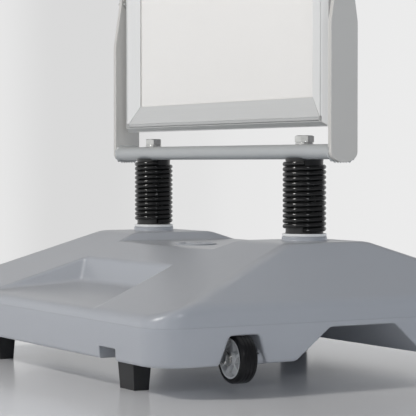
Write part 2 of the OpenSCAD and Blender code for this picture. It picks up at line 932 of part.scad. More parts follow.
// The weld fillets round both ends of the crossbar
module weld_beads() {
    color(colour_steel) for (side = [-1, 1])
        translate([side * (upright_in - bead_w / 2), 0, bar_z + bar_h / 2]) difference() {
            along_x(bead_w) bar_section(-bead_w * 0.7);
            along_x(bead_w + 2) bar_section(0);
            translate([0, 0, -bar_h / 2 - 5]) cube([20, bar_w + 20, 10], center = true);
        }
}

// Poster frame. A section's first coordinate is the depth from the middle plane,
// and the second is the distance inwards from the frame's outer edge.

half_t = frame_t / 2;
hinge_u = 8.4;
hinge_v = half_t - bead_r;
flap_t = 1.3;
cup_r = bead_r + fit;
cup_out = cup_r + 1.1;
key_u = hinge_u - 0.7;
slot_v = board_t / 2 + 0.1;
ledge_v = slot_v + skin;
ledge_u = rail_w - 5;
side_v = half_t - bead_r - 3.2;
poster_v = ledge_v + 0.02;
cover_v = poster_v + poster_t + 0.02;
lip_v = cover_v + cover_t + seat;
cup_opens = -14;

module core_half() {
    polygon([[0, 0.2], [side_v, 0.2], [side_v + 0.3, 0.2 + skin], [0, 0.2 + skin]]);
    polygon([
        [side_v - 0.4, 0.2],
        [side_v + 0.4, 0.2],
        [hinge_v - 0.1, hinge_u - cup_out + 0.4],
        [hinge_v - 0.1, hinge_u - cup_r - 0.05],
        [hinge_v - 0.9, hinge_u - cup_r],
        [side_v - 0.4, 0.2 + skin]
    ]);
    difference() {
        translate([hinge_v, hinge_u]) circle(cup_out);
        translate([hinge_v, hinge_u]) circle(cup_r);
        translate([hinge_v - 0.1, hinge_u - 20]) square([40, 20]);
        translate([hinge_v, hinge_u]) rotate([0, 0, cup_opens]) translate([0, -0.2]) square([40, 40]);
    }
    translate([0, key_u]) square([hinge_v - cup_r - 0.3, skin]);
    translate([slot_v, key_u]) square([skin, ledge_u - key_u]);
}

module core_section() {
    core_half();
    mirror([1, 0]) core_half();
}

module flap_section() {
    foot_w = 2.5;
    bevel_v = half_t - bevel_drop;
    translate([hinge_v, hinge_u]) circle(bead_r);
    translate([half_t - flap_t, hinge_u]) square([flap_t, rail_w - bevel_w - hinge_u]);
    polygon([
        [half_t, rail_w - bevel_w],
        [bevel_v, rail_w],
        [bevel_v - flap_t, rail_w],
        [half_t - flap_t, rail_w - bevel_w - 0.3]
    ]);
    translate([lip_v, rail_w - skin]) square([bevel_v - flap_t / 2 - lip_v, skin]);
    translate([lip_v, rail_w - foot_w]) square([skin, foot_w]);
}

// Wedge-ended room for a rail between its two mitres
module mitre(length, gap) {
    depth = rail_w + 10;
    half = length / 2 - gap;
    along_y(4 * frame_t) polygon([
        [-half - 10, -10],
        [half + 10, -10],
        [half - depth, depth],
        [-half + depth, depth]
    ]);
}

// Places a part drawn along the lower edge on edge 0 to 3: bottom, top, left, right
module on_edge(edge) {
    if (edge == 0) translate([0, 0, frame_z]) children();
    if (edge == 1) translate([0, 0, frame_z + frame_h]) rotate([0, 180, 0]) children();
    if (edge == 2) translate([-frame_w / 2, 0, frame_mid_z]) rotate([0, 90, 0]) children();
    if (edge == 3) translate([frame_w / 2, 0, frame_mid_z]) rotate([0, -90, 0]) children();
}

function edge_length(edge) = edge < 2 ? frame_w : frame_h;

module rail(edge) {
    length = edge_length(edge);
    color(colour_alu) difference() {
        on_edge(edge) intersection() {
            along_x(length) core_section();
            mitre(length, 0.05);
        }
        if (edge > 1) panel_bores(panel_d + 0.4, 5);
    }
}

// Cross holes for the panel bolts, from outside to a depth inside the frame's edge
module panel_bores(d, depth) {
    for (side = [-1, 1], z = [low_bolt_z, low_bolt_z + bolt_rise])
        translate([side * (frame_w / 2 - depth), 0, z])
            rotate([0, 90 * side, 0]) translate([0, 0, -0.5]) cylinder(h = depth + 2, d = d);
}

module rail_bottom() { rail(0); }
module rail_top() { rail(1); }
module rail_left() { rail(2); }
module rail_right() { rail(3); }

// A flap's hinge bead stops short of the corner, so that neighbours clear each other
module flap(edge, side) {
    length = edge_length(edge);
    clear_u = hinge_u + bead_r + 0.4;
    color(colour_alu) on_edge(edge) scale([1, side, 1]) difference() {
        intersection() {
            along_x(length) flap_section();
            mitre(length, 0.3);
        }
        for (end = [-1, 1]) translate([end * (length / 2 - clear_u / 2), 0, 0]) {
            translate([0, half_t - flap_t - 10, clear_u / 2 - 5])
                cube([clear_u + 0.01, 20, clear_u + 10], center = true);
            translate([0, half_t, 0]) cube([clear_u + 0.01, 20, 2 * (hinge_u - bead_r * 0.62)], center = true);
        }
    }
}

module flap_front_bottom() { flap(0, -1); }
module flap_front_top() { flap(1, -1); }
module flap_front_left() { flap(2, -1); }
module flap_front_right() { flap(3, -1); }
module flap_back_bottom() { flap(0, 1); }
module flap_back_top() { flap(1, 1); }
module flap_back_left() { flap(2, 1); }
module flap_back_right() { flap(3, 1); }

clip_len = 12;
clip_t = 0.6;
clip_at = 0.36;

// A sprung clip that hugs the outside of a hinge cup
module clip_section() {
    play = 0.05;
    leg = 1.25 * cup_out;
    far = 5 * cup_out;
    translate([hinge_v, hinge_u]) intersection() {
        difference() {
            circle(cup_out + play + clip_t);
            circle(cup_out + play);
        }
        polygon([[0, 0], [-far, -0.3 * far], [-far, -far], [-0.62 * far, -far]]);
    }
    translate([hinge_v - cup_out - play - leg, key_u - play - clip_t]) square([leg, clip_t]);
}

module snap_clips() {
    color(colour_zinc) for (edge = [0 : 3], end = [-1, 1], side = [-1, 1])
        on_edge(edge) translate([end * edge_length(edge) * clip_at, 0, 0]) scale([1, side, 1])
            along_x(clip_len) clip_section();
}

key_leg = 45;
key_t = hinge_u - 2.6;

// Angle pieces in the rails' chambers that hold the four mitres together
module corner_keys() {
    inner = 0.2 + skin + 0.3;
    width = key_u - inner - 0.3;
    depth = 2 * side_v - 3;
    color(colour_zinc) for (sx = [-1, 1], sz = [-1, 1])
        translate([sx * frame_w / 2, 0, frame_mid_z + sz * frame_h / 2]) scale([-sx, 1, -sz])
            along_y(depth) polygon([
                [inner, inner],
                [key_leg, inner],
                [key_leg, inner + width],
                [inner + width, inner + width],
                [inner + width, key_leg],
                [inner, key_leg]
            ]);
}

module sheet(width, height, from, thick) {
    translate([0, from + thick / 2, frame_mid_z]) cube([width, thick, height], center = true);
}

module backing_board() {
    edge = key_u + skin + 0.1;
    color(colour_white) sheet(frame_w - 2 * edge, frame_h - 2 * edge, -board_t / 2, board_t);
}

module poster_front() {
    color(colour_white) mirror([0, 1, 0]) sheet(poster_w, poster_h, poster_v, poster_t);
}

module poster_back() {
    color(colour_white) sheet(poster_w, poster_h, poster_v, poster_t);
}

cover_over = 1.5;

module cover_front() {
    color([0.9, 0.93, 0.95, 0.3]) mirror([0, 1, 0])
        sheet(poster_w + 2 * cover_over, poster_h + 2 * cover_over, cover_v, cover_t);
}

module cover_back() {
    color([0.9, 0.93, 0.95, 0.3])
        sheet(poster_w + 2 * cover_over, poster_h + 2 * cover_over, cover_v, cover_t);
}

// Fixings between the poster frame and the uprights

strip_t = 5;
strip_len = 40;
strip_out = frame_w / 2 - 0.2 - skin;

module at_panel_bolts() {
    for (side = [-1, 1], z = [low_bolt_z, low_bolt_z + bolt_rise])
        translate([0, 0, z]) rotate([0, 90 * side, 0]) children();
}

module panel_bolts() {
    head = upright_in + upright_t;
    tip = strip_out - strip_t;
    color(colour_zinc) at_panel_bolts() {
        translate([0, 0, tip]) cylinder(h = head - tip, d = panel_d);
        translate([0, 0, head]) bolt_head(panel_hex, panel_head_h);
    }
}

module panel_nuts() {
    color(colour_zinc) at_panel_bolts() translate([0, 0, upright_in - panel_nut_h]) difference() {
        rotate([0, 0, 30]) hexagon(panel_hex, panel_nut_h);
        translate([0, 0, -1]) cylinder(h = panel_nut_h + 2, r = panel_d / 2 + fit);
    }
}

module panel_spacers() {
    from = frame_w / 2 - 0.2;
    color(colour_zinc) at_panel_bolts() translate([0, 0, from]) difference() {
        cylinder(h = upright_in - panel_nut_h - from, d = panel_d + 3);
        translate([0, 0, -1]) cylinder(h = big, r = panel_d / 2 + fit);
    }
}

module strip_nuts() {
    color(colour_zinc) at_panel_bolts() translate([0, 0, strip_out - strip_t]) difference() {
        translate([-strip_len / 2, -side_v + 1.6, 0]) cube([strip_len, 2 * side_v - 3.2, strip_t]);
        translate([0, 0, -1]) cylinder(h = strip_t + 2, r = panel_d / 2 + fit);
    }
}

tank();
filler_cap();
filler_seal();
feet();
tyre_front();
tyre_back();
hub_front();
hub_back();
axle_bolts();
axle_washers();
axle_inserts();
spring_pads();
lower_plugs();
lower_bolts();
lower_washers();
lower_nuts();
spring_left();
spring_right();
upper_plugs();
upper_bolts();
lock_washers();
upper_nuts();
crossbar();
upright_left();
upright_right();
weld_beads();
panel_bolts();
panel_nuts();
panel_spacers();
strip_nuts();
rail_bottom();
rail_top();
rail_left();
rail_right();
corner_keys();
snap_clips();
backing_board();
poster_front();
poster_back();
cover_front();
cover_back();
flap_front_bottom();
flap_front_top();
flap_front_left();
flap_front_right();
flap_back_bottom();
flap_back_top();
flap_back_left();
flap_back_right();
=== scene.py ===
import json
import math

import bmesh
import bpy
import numpy as np
from mathutils import Matrix, Vector


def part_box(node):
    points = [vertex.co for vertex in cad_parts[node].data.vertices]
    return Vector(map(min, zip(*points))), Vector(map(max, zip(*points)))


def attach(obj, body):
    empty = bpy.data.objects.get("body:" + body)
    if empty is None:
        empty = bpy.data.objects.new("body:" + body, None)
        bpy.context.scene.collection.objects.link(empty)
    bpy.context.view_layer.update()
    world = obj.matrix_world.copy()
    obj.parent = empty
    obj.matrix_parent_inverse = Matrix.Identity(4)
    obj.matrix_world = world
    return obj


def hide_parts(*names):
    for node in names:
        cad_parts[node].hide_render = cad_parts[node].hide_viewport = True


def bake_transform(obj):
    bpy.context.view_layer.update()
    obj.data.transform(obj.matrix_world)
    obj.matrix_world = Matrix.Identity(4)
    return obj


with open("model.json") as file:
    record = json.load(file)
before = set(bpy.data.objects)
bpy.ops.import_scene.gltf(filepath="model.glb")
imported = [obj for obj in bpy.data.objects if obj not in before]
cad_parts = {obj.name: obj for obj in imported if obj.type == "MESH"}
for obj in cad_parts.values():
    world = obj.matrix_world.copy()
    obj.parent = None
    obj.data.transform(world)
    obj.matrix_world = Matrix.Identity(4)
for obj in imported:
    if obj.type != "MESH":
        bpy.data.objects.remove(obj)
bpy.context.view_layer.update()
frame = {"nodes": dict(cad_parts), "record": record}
scene = bpy.context.scene
mm = 0.001
bodyOf = {name: body for body, names in frame["record"]["behaviour"]["bodies"].items() for name in names}


def sine(degrees):
    return math.sin(math.radians(degrees))


def cosine(degrees):
    return math.cos(math.radians(degrees))


def tangent(degrees):
    return math.tan(math.radians(degrees))


def wire(tree, target, source):
    if isinstance(source, bpy.types.NodeSocket):
        tree.links.new(source, target)
    else:
        target.default_value = source


def newNode(tree, kind, *sources, **settings):
    node = tree.nodes.new(kind)
    for key, value in settings.items():
        setattr(node, key, value)
    for target, source in zip(node.inputs, sources):
        wire(tree, target, source)
    return node


def calc(tree, operation, *sources, clamp=False):
    return newNode(tree, "ShaderNodeMath", *sources, operation=operation, use_clamp=clamp).outputs[0]


def vectorCalc(tree, operation, *sources):
    return newNode(tree, "ShaderNodeVectorMath", *sources, operation=operation).outputs


def splitAxes(tree, vector):
    return newNode(tree, "ShaderNodeSeparateXYZ", vector).outputs


def mixShader(tree, factor, first, second):
    return newNode(tree, "ShaderNodeMixShader", factor, first, second).outputs[0]


def mixColour(tree, factor, first, second, blendType="MIX"):
    node = newNode(tree, "ShaderNodeMix", factor, data_type="RGBA", blend_type=blendType)
    wire(tree, node.inputs[6], first)
    wire(tree, node.inputs[7], second)
    return node.outputs[2]


def noise(tree, place, scale, detail=2.0, rough=0.5):
    node = newNode(tree, "ShaderNodeTexNoise")
    for label, source in {"Detail": detail, "Roughness": rough, "Vector": place, "Scale": scale}.items():
        wire(tree, node.inputs[label], source)
    return node.outputs["Fac"]


def spread(tree, value, low, high):
    node = newNode(tree, "ShaderNodeMapRange", value, low, high, interpolation_type="SMOOTHSTEP")
    return node.outputs[0]


# the camera and the studio round the sign
shot = {
    "place": (1.83031, -1.08167, 0.23608), "tilt": 88.57, "turn": 59.92,
    "lens": 154.92, "sensor": 36, "clipEnd": 60,
}
cameraData = bpy.data.cameras.new("shotCamera")
cameraData.lens = shot["lens"]
cameraData.sensor_width = shot["sensor"]
cameraData.clip_end = shot["clipEnd"]
shotCamera = bpy.data.objects.new("shotCamera", cameraData)
shotCamera.location = shot["place"]
shotCamera.rotation_euler = (math.radians(shot["tilt"]), 0, math.radians(shot["turn"]))
scene.collection.objects.link(shotCamera)
scene.camera = shotCamera
scene.view_settings.view_transform = "Standard"

lamps = {
    "frontBox": {
        "from": (-0.08, -1.65, 1.55), "aim": (0, 0, 0.25),
        "size": 0.3, "power": 17, "tint": (1, 0.975, 0.94),
    },
    "sideBox": {
        "from": (2.35, -0.58, 1.1), "aim": (0, 0, 0.3),
        "size": 0.2, "power": 5.6, "tint": (0.97, 0.985, 1),
    },
    "topBox": {
        "from": (-0.2, 0.1, 2.6), "aim": (0, 0, 0),
        "size": 1.8, "power": 4.5, "tint": (1, 0.985, 0.965),
    },
}
for name, lamp in lamps.items():
    lampData = bpy.data.lights.new(name, "AREA")
    lampData.size = lamp["size"]
    lampData.energy = lamp["power"]
    lampData.color = lamp["tint"]
    lampObject = bpy.data.objects.new(name, lampData)
    lampObject.location = lamp["from"]
    aim = Vector(lamp["aim"]) - Vector(lamp["from"])
    lampObject.rotation_euler = aim.to_track_quat("-Z", "Y").to_euler()
    scene.collection.objects.link(lampObject)

studio = {
    "ambientHigh": 0.1,
    "ambientLow": 1.36,
    "ambientUnder": 0.7,
    "horizonBand": (-0.12, 0.0),   # heights between which the light from below passes into the low light
    "highBand": (0.05, 0.55),
    "highTint": (1.0, 1.0, 0.99, 1),
    "lowTint": (0.92, 1.0, 1.11, 1),
    "facing": 149.92,   # degrees from X round to the middle of the view
    "sweep": 60,   # degrees that the backdrop's tones are spread over
    "tones": [   # share of the sweep from left to right, and the backdrop's tone there
        (0.0, 0.82), (0.385, 0.80), (0.42, 0.70), (0.445, 0.70), (0.49, 0.765),
        (0.517, 0.805), (0.55, 0.82), (0.61, 0.835), (1.0, 0.82),
    ],
    "floorTone": (0.95, 0.95, 0.965, 1),
    "floorGloss": 0.16,
    "fade": (0.62, 0.95),   # metres from the middle between which the floor goes clear
    "floorSize": 6.0,
    "backdropRight": (0.8, 1.3),   # radians to the right of the view's middle
    "backdropLeft": (-3.14, -2.85),
    "backdropTop": (0.22, 0.52),
    "roomTone": (0.23, 0.23, 0.24, 1),
}


def backdropTone(tree, direction):
    east, north = cosine(studio["facing"]), sine(studio["facing"])
    rightShare = vectorCalc(tree, "DOT_PRODUCT", direction, (north, -east, 0))["Value"]
    aheadShare = vectorCalc(tree, "DOT_PRODUCT", direction, (east, north, 0))["Value"]
    offset = calc(tree, "ARCTAN2", rightShare, aheadShare)
    share = calc(tree, "MULTIPLY_ADD", offset, 1 / math.radians(studio["sweep"]), 0.5, clamp=True)
    ramp = newNode(tree, "ShaderNodeValToRGB", share)
    ramp.color_ramp.interpolation = "EASE"
    stops = ramp.color_ramp.elements
    while len(stops) < len(studio["tones"]):
        stops.new(0.5)   # moved to its place below
    for stop, (position, tone) in zip(stops, studio["tones"]):
        stop.position = position
        stop.color = grey(tone)
    return ramp.outputs["Color"], offset


def grey(value):
    return (value, value, value, 1)


def scaled(colour, strength):
    return tuple(c * strength for c in colour[:3]) + (1,)


world = bpy.data.worlds.new("studio")
scene.world = world
world.use_nodes = True
tree = world.node_tree
tree.nodes.clear()
rays = newNode(tree, "ShaderNodeLightPath").outputs
direction = newNode(tree, "ShaderNodeTexCoord").outputs["Generated"]
pale, offset = backdropTone(tree, direction)
height = splitAxes(tree, direction)["Z"]
under, low = (scaled(studio["lowTint"], studio[key]) for key in ("ambientUnder", "ambientLow"))
level = mixColour(tree, spread(tree, height, *studio["horizonBand"]), under, low)
high = scaled(studio["highTint"], studio["ambientHigh"])
ambientTone = mixColour(tree, spread(tree, height, *studio["highBand"]), level, high)
ambient = newNode(tree, "ShaderNodeBackground", ambientTone).outputs[0]
backdrop = newNode(tree, "ShaderNodeBackground", pale).outputs[0]
# gloss shows the pale backdrop ahead and behind, and the dimmer room on both sides and above
right = spread(tree, offset, *studio["backdropRight"])
left = calc(tree, "SUBTRACT", 1.0, spread(tree, offset, *studio["backdropLeft"]))
above = spread(tree, height, *studio["backdropTop"])
beyond = calc(tree, "MAXIMUM", calc(tree, "MAXIMUM", right, left), above)
roomTone = mixColour(tree, beyond, pale, studio["roomTone"])
room = newNode(tree, "ShaderNodeBackground", roomTone).outputs[0]
mirrored = calc(tree, "MAXIMUM", rays["Is Glossy Ray"], rays["Is Transmission Ray"])
seen = mixShader(tree, rays["Is Camera Ray"], mixShader(tree, mirrored, ambient, room), backdrop)
newNode(tree, "ShaderNodeOutputWorld", seen)

# the floor fades out well behind the sign, so that no horizon shows
floorMaterial = bpy.data.materials.new("paleFloor")
floorMaterial.use_nodes = True
tree = floorMaterial.node_tree
tree.nodes.clear()
floorShader = newNode(tree, "ShaderNodeBsdfPrincipled")
floorShader.inputs["Base Color"].default_value = studio["floorTone"]
floorShader.inputs["Roughness"].default_value = studio["floorGloss"]
reach = vectorCalc(tree, "LENGTH", newNode(tree, "ShaderNodeTexCoord").outputs["Object"])["Value"]
clear = newNode(tree, "ShaderNodeBsdfTransparent").outputs[0]
faded = mixShader(tree, spread(tree, reach, *studio["fade"]), floorShader.outputs[0], clear)
newNode(tree, "ShaderNodeOutputMaterial", faded)
floorMesh = bpy.data.meshes.new("floor")
half = studio["floorSize"] / 2
corners = [(-half, -half, 0), (half, -half, 0), (half, half, 0), (-half, half, 0)]
floorMesh.from_pydata(corners, [], [(0, 1, 2, 3)])
floorMesh.materials.append(floorMaterial)
floorPlane = bpy.data.objects.new("floor", floorMesh)
scene.collection.objects.link(floorPlane)
print("stage: camera, lamps and floor")


# effects that several finishes share
def startGroup(name, inputs, outputs):
    group = bpy.data.node_groups.new(name, "ShaderNodeTree")
    for label, kind, value in inputs:
        socket = group.interface.new_socket(label, in_out="INPUT", socket_type=kind)
        if value is not None:
            socket.default_value = value
    for label, kind in outputs:
        group.interface.new_socket(label, in_out="OUTPUT", socket_type=kind)
    return group, group.nodes.new("NodeGroupInput").outputs, group.nodes.new("NodeGroupOutput").inputs


floatSocket, vectorSocket = "NodeSocketFloat", "NodeSocketVector"
effects = {
    "wearGain": 7.0, "patchContrast": 2.4, "patchShift": -0.6, "bevelSamples": 4,
    "upGain": 2.5, "upShift": -1.3, "driftScale": 26.0, "driftContrast": 2.0, "driftShift": -0.5,
}

# a mould's fine grain and slow changes of tone
mouldGrain, given, result = startGroup(
    "mouldGrain",
    [
        ("Place", vectorSocket, None), ("Fine", floatSocket, 900.0),
        ("Mottle", floatSocket, 9.0), ("Spread", floatSocket, 0.05),
    ],
    [("Tone", floatSocket), ("Height", floatSocket)],
)
slow = noise(mouldGrain, given["Place"], given["Mottle"], detail=4.0, rough=0.6)
fine = noise(mouldGrain, given["Place"], given["Fine"])
centred = calc(mouldGrain, "SUBTRACT", slow, 0.5)
wire(mouldGrain, result["Tone"], calc(mouldGrain, "MULTIPLY_ADD", centred, given["Spread"], 1.0))
wire(mouldGrain, result["Height"], fine)

# paler or barer edges where a thing is handled
edgeWear, given, result = startGroup(
    "edgeWear",
    [
        ("Place", vectorSocket, None), ("Width", floatSocket, 0.001),
        ("Patches", floatSocket, 60.0), ("Amount", floatSocket, 0.5),
    ],
    [("Mask", floatSocket)],
)
bevelled = newNode(edgeWear, "ShaderNodeBevel", given["Width"], samples=effects["bevelSamples"])
flat = newNode(edgeWear, "ShaderNodeNewGeometry").outputs["Normal"]
alike = vectorCalc(edgeWear, "DOT_PRODUCT", bevelled.outputs[0], flat)["Value"]
turnedAway = calc(edgeWear, "SUBTRACT", 1.0, alike, clamp=True)
turnedAway = calc(edgeWear, "MULTIPLY", turnedAway, effects["wearGain"], clamp=True)
patches = noise(edgeWear, given["Place"], given["Patches"], detail=3.0, rough=0.6)
patches = calc(edgeWear, "MULTIPLY_ADD", patches, effects["patchContrast"], effects["patchShift"], clamp=True)
worn = calc(edgeWear, "MULTIPLY", turnedAway, patches)
wire(edgeWear, result["Mask"], calc(edgeWear, "MULTIPLY", worn, given["Amount"]))

# lines drawn into a metal section by its die or a brush
drawnLines, given, result = startGroup(
    "drawnLines",
    [
        ("Place", vectorSocket, None), ("Stretch", vectorSocket, (20.0, 900.0, 900.0)),
        ("Spread", floatSocket, 0.05),
    ],
    [("Tone", floatSocket), ("Height", floatSocket)],
)
stretched = vectorCalc(drawnLines, "MULTIPLY", given["Place"], given["Stretch"])
lines = noise(drawnLines, stretched[0], 1.0, detail=3.0, rough=0.6)
centred = calc(drawnLines, "SUBTRACT", lines, 0.5)
wire(drawnLines, result["Tone"], calc(drawnLines, "MULTIPLY_ADD", centred, given["Spread"], 1.0))
wire(drawnLines, result["Height"], lines)

# a thin film of dust on what faces up
settledDust, given, result = startGroup(
    "settledDust",
    [("Place", vectorSocket, None), ("Amount", floatSocket, 0.1)],
    [("Mask", floatSocket)],
)
facing = splitAxes(settledDust, newNode(settledDust, "ShaderNodeNewGeometry").outputs["Normal"])
upward = calc(settledDust, "MULTIPLY_ADD", facing["Z"], effects["upGain"], effects["upShift"], clamp=True)
drift = noise(settledDust, given["Place"], effects["driftScale"], detail=5.0, rough=0.7)
drift = calc(settledDust, "MULTIPLY_ADD", drift, effects["driftContrast"], effects["driftShift"], clamp=True)
dusty = calc(settledDust, "MULTIPLY", upward, drift)
wire(settledDust, result["Mask"], calc(settledDust, "MULTIPLY", dusty, given["Amount"]))


def useGroup(tree, group, **sources):
    node = newNode(tree, "ShaderNodeGroup", node_tree=group)
    for label, source in sources.items():
        wire(tree, node.inputs[label], source)
    return node.outputs


# one entry for each finish; lengths in metres, noise scales per metre
finishes = {
    "tankPlastic": {
        "slot": "tank_plastic", "colour": (0.402, 0.413, 0.437), "rough": 0.31, "fine": 1500, "mottle": 7,
        "spread": 0.06, "depth": 0.00003, "wear": 0.22, "wearWidth": 0.0015, "wornTo": (0.55, 0.565, 0.58),
        "dust": 0.10,
    },
    "footRubber": {
        "slot": "rubber", "colour": (0.018, 0.018, 0.019), "rough": 0.55, "fine": 1800, "mottle": 60,
        "spread": 0.3, "depth": 0.00006, "wear": 0.3, "wearWidth": 0.0008, "wornTo": (0.07, 0.07, 0.07),
        "dust": 0.2,
    },
    "tyreRubber": {
        "slot": "tyre", "specular": 0.26, "colour": (0.006, 0.006, 0.007), "rough": 0.32, "fine": 1400,
        "mottle": 80, "spread": 0.35, "depth": 0.00005, "wear": 0.25, "wearWidth": 0.0006,
        "wornTo": (0.05, 0.05, 0.05), "dust": 0.2,
    },
    "hubNylon": {
        "slot": "hub_plastic", "colour": (0.62, 0.62, 0.62), "rough": 0.36, "fine": 1500, "mottle": 70,
        "spread": 0.1, "depth": 0.00003, "wear": 0.35, "wearWidth": 0.0006, "wornTo": (0.62, 0.62, 0.62),
        "dust": 0.1,
    },
    "zincPlate": {
        "slot": "zinc", "colour": (0.66, 0.665, 0.65), "rough": 0.2, "metal": 1.0, "fine": 2200,
        "mottle": 260, "spread": 0.35, "depth": 0.00002, "wear": 0.5, "wearWidth": 0.0004,
        "wornTo": (0.86, 0.86, 0.85), "dust": 0.05,
    },
    "turnedBrass": {
        "slot": "brass", "colour": (0.62, 0.45, 0.17), "rough": 0.28, "metal": 1.0, "fine": 2200,
        "mottle": 200, "spread": 0.25, "depth": 0.00002, "wear": 0.4, "wearWidth": 0.0004,
        "wornTo": (0.8, 0.64, 0.32), "dust": 0.0,
    },
    "whiteNylon": {
        "slot": "white_nylon", "colour": (0.80, 0.79, 0.77), "rough": 0.38, "fine": 1600, "mottle": 50,
        "spread": 0.05, "depth": 0.00002, "wear": 0.3, "wearWidth": 0.0005, "wornTo": (0.87, 0.86, 0.84),
        "dust": 0.1,
    },
    "blackNylon": {
        "slot": "black_nylon", "colour": (0.014, 0.014, 0.014), "rough": 0.34, "fine": 1600, "mottle": 70,
        "spread": 0.3, "depth": 0.00003, "wear": 0.3, "wearWidth": 0.0005, "wornTo": (0.05, 0.05, 0.05),
        "dust": 0.1,
    },
    "blackedSpring": {
        "slot": "spring_steel", "specular": 0.6, "colour": (0.002, 0.002, 0.002), "rough": 0.13,
        "fine": 2400, "mottle": 120, "spread": 0.4, "depth": 0.00002, "wear": 0.0, "wearWidth": 0.0005,
        "wornTo": (0.1, 0.1, 0.1), "dust": 0.06,
    },
    "greyPaint": {
        "slot": "grey_paint", "colour": (0.585, 0.56, 0.52), "rough": 0.40, "metal": 0.1, "fine": 2600,
        "mottle": 14, "spread": 0.06, "depth": 0.000035, "wear": 0.4, "wearWidth": 0.0008,
        "wornTo": (0.62, 0.62, 0.61), "dust": 0.08,
    },
    "barPaintShaded": {   # painted shade: the uprights' grey paint made darker on the crossbar and its welds, to make up for the lamps lighting the bar too brightly
        "slot": "grey_paint", "colour": (0.445, 0.45, 0.442), "rough": 0.40, "metal": 0.1, "fine": 2600,
        "mottle": 14, "spread": 0.06, "depth": 0.000035, "wear": 0.4, "wearWidth": 0.0008,
        "wornTo": (0.62, 0.62, 0.61), "dust": 0.08,
    },
    "clipSteel": {
        "slot": "clip_steel", "colour": (0.45, 0.45, 0.44), "rough": 0.3, "metal": 1.0, "fine": 2200,
        "mottle": 200, "spread": 0.3, "depth": 0.00001, "wear": 0.3, "wearWidth": 0.0003,
        "wornTo": (0.7, 0.7, 0.7), "dust": 0.0,
    },
    "foamBoard": {
        "slot": "board", "colour": (0.80, 0.80, 0.79), "rough": 0.6, "fine": 1200, "mottle": 20,
        "spread": 0.04, "depth": 0.00003, "wear": 0.1, "wearWidth": 0.0006, "wornTo": (0.7, 0.7, 0.69),
        "dust": 0.05,
    },
    "posterPaper": {
        "slot": "paper", "colour": (0.815, 0.772, 0.722), "rough": 0.55, "fine": 1100, "mottle": 5,
        "spread": 0.03, "depth": 0.00002, "wear": 0.0, "wearWidth": 0.0005, "wornTo": (0.8, 0.8, 0.8),
        "dust": 0.0,
    },
    "satinAluminium": {   # the level sections lie along X, the upright ones along Z; the level ones get a darker copy of the colour, painted shade for how the light falls on them
        "slot": "aluminium", "colour": (0.82, 0.82, 0.81), "levelShadedColour": (0.69, 0.69, 0.678),
        "levelStretch": (9.0, 1500.0, 1500.0), "uprightStretch": (1500.0, 1500.0, 9.0), "rough": 0.36,
        "metal": 0.75, "spread": 0.10, "depth": 0.00002, "wear": 0.35, "wearWidth": 0.0005,
        "wornTo": (0.86, 0.86, 0.855), "dust": 0.03,
    },
}
tankSeam = {"height": 0.072, "width": 0.0005, "shade": 0.88, "raised": 6.0}   # raised: in grain heights
allOver = {"wearPatches": 90.0, "dustColour": (0.42, 0.41, 0.39, 1), "roughSwing": 0.12}


def startFinish(name, spec):
    material = bpy.data.materials.new(name)
    material.use_nodes = True
    tree = material.node_tree
    tree.nodes.clear()
    shader = newNode(tree, "ShaderNodeBsdfPrincipled")
    shader.inputs["Metallic"].default_value = spec.get("metal", 0.0)
    shader.inputs["Specular IOR Level"].default_value = spec.get("specular", 0.5)
    place = newNode(tree, "ShaderNodeTexCoord").outputs["Object"]
    return material, tree, shader, place


def useGrain(tree, place, spec):
    return useGroup(
        tree, mouldGrain, Place=place, Fine=spec["fine"], Mottle=spec["mottle"], Spread=spec["spread"])


def surfaceOf(name, spec, stretch=None):
    material, tree, shader, place = startFinish(name, spec)
    if stretch:
        grain = useGroup(tree, drawnLines, Place=place, Stretch=stretch, Spread=spec["spread"])
    else:
        grain = useGrain(tree, place, spec)
    tinted = mixColour(tree, 1.0, spec["colour"] + (1,), grain["Tone"], "MULTIPLY")
    height = grain["Height"]
    if name == "tankPlastic":   # the mould's parting line runs round the skirt
        away = calc(tree, "ABSOLUTE", calc(tree, "SUBTRACT", splitAxes(tree, place)["Z"], tankSeam["height"]))
        line = calc(tree, "SUBTRACT", 1.0, calc(tree, "DIVIDE", away, tankSeam["width"]), clamp=True)
        shaded = mixColour(tree, 1.0, tinted, grey(tankSeam["shade"]), "MULTIPLY")
        tinted = mixColour(tree, line, tinted, shaded)
        height = calc(tree, "MULTIPLY_ADD", line, tankSeam["raised"], height)
    if spec["wear"]:
        worn = useGroup(
            tree, edgeWear, Place=place, Width=spec["wearWidth"],
            Patches=allOver["wearPatches"], Amount=spec["wear"])
        tinted = mixColour(tree, worn["Mask"], tinted, spec["wornTo"] + (1,))
    if spec["dust"]:
        dust = useGroup(tree, settledDust, Place=place, Amount=spec["dust"])
        tinted = mixColour(tree, dust["Mask"], tinted, allOver["dustColour"])
    swing = allOver["roughSwing"]
    rough = calc(tree, "MULTIPLY_ADD", grain["Height"], swing, spec["rough"] - swing / 2, clamp=True)
    bump = newNode(tree, "ShaderNodeBump")
    for label, source in {"Strength": 1.0, "Distance": spec["depth"], "Height": height}.items():
        wire(tree, bump.inputs[label], source)
    for label, source in {"Base Color": tinted, "Roughness": rough, "Normal": bump.outputs[0]}.items():
        wire(tree, shader.inputs[label], source)
    newNode(tree, "ShaderNodeOutputMaterial", shader.outputs[0])
    return material


satin = finishes["satinAluminium"]
made = {name: surfaceOf(name, spec) for name, spec in finishes.items() if spec is not satin}
# painted shade: the level sections' aluminium is a darker copy of the upright sections'
shadedLevelSatin = {**satin, "colour": satin["levelShadedColour"]}
made["aluminiumLevelShaded"] = surfaceOf("aluminiumLevelShaded", shadedLevelSatin, satin["levelStretch"])
made["aluminiumUpright"] = surfaceOf("aluminiumUpright", satin, satin["uprightStretch"])

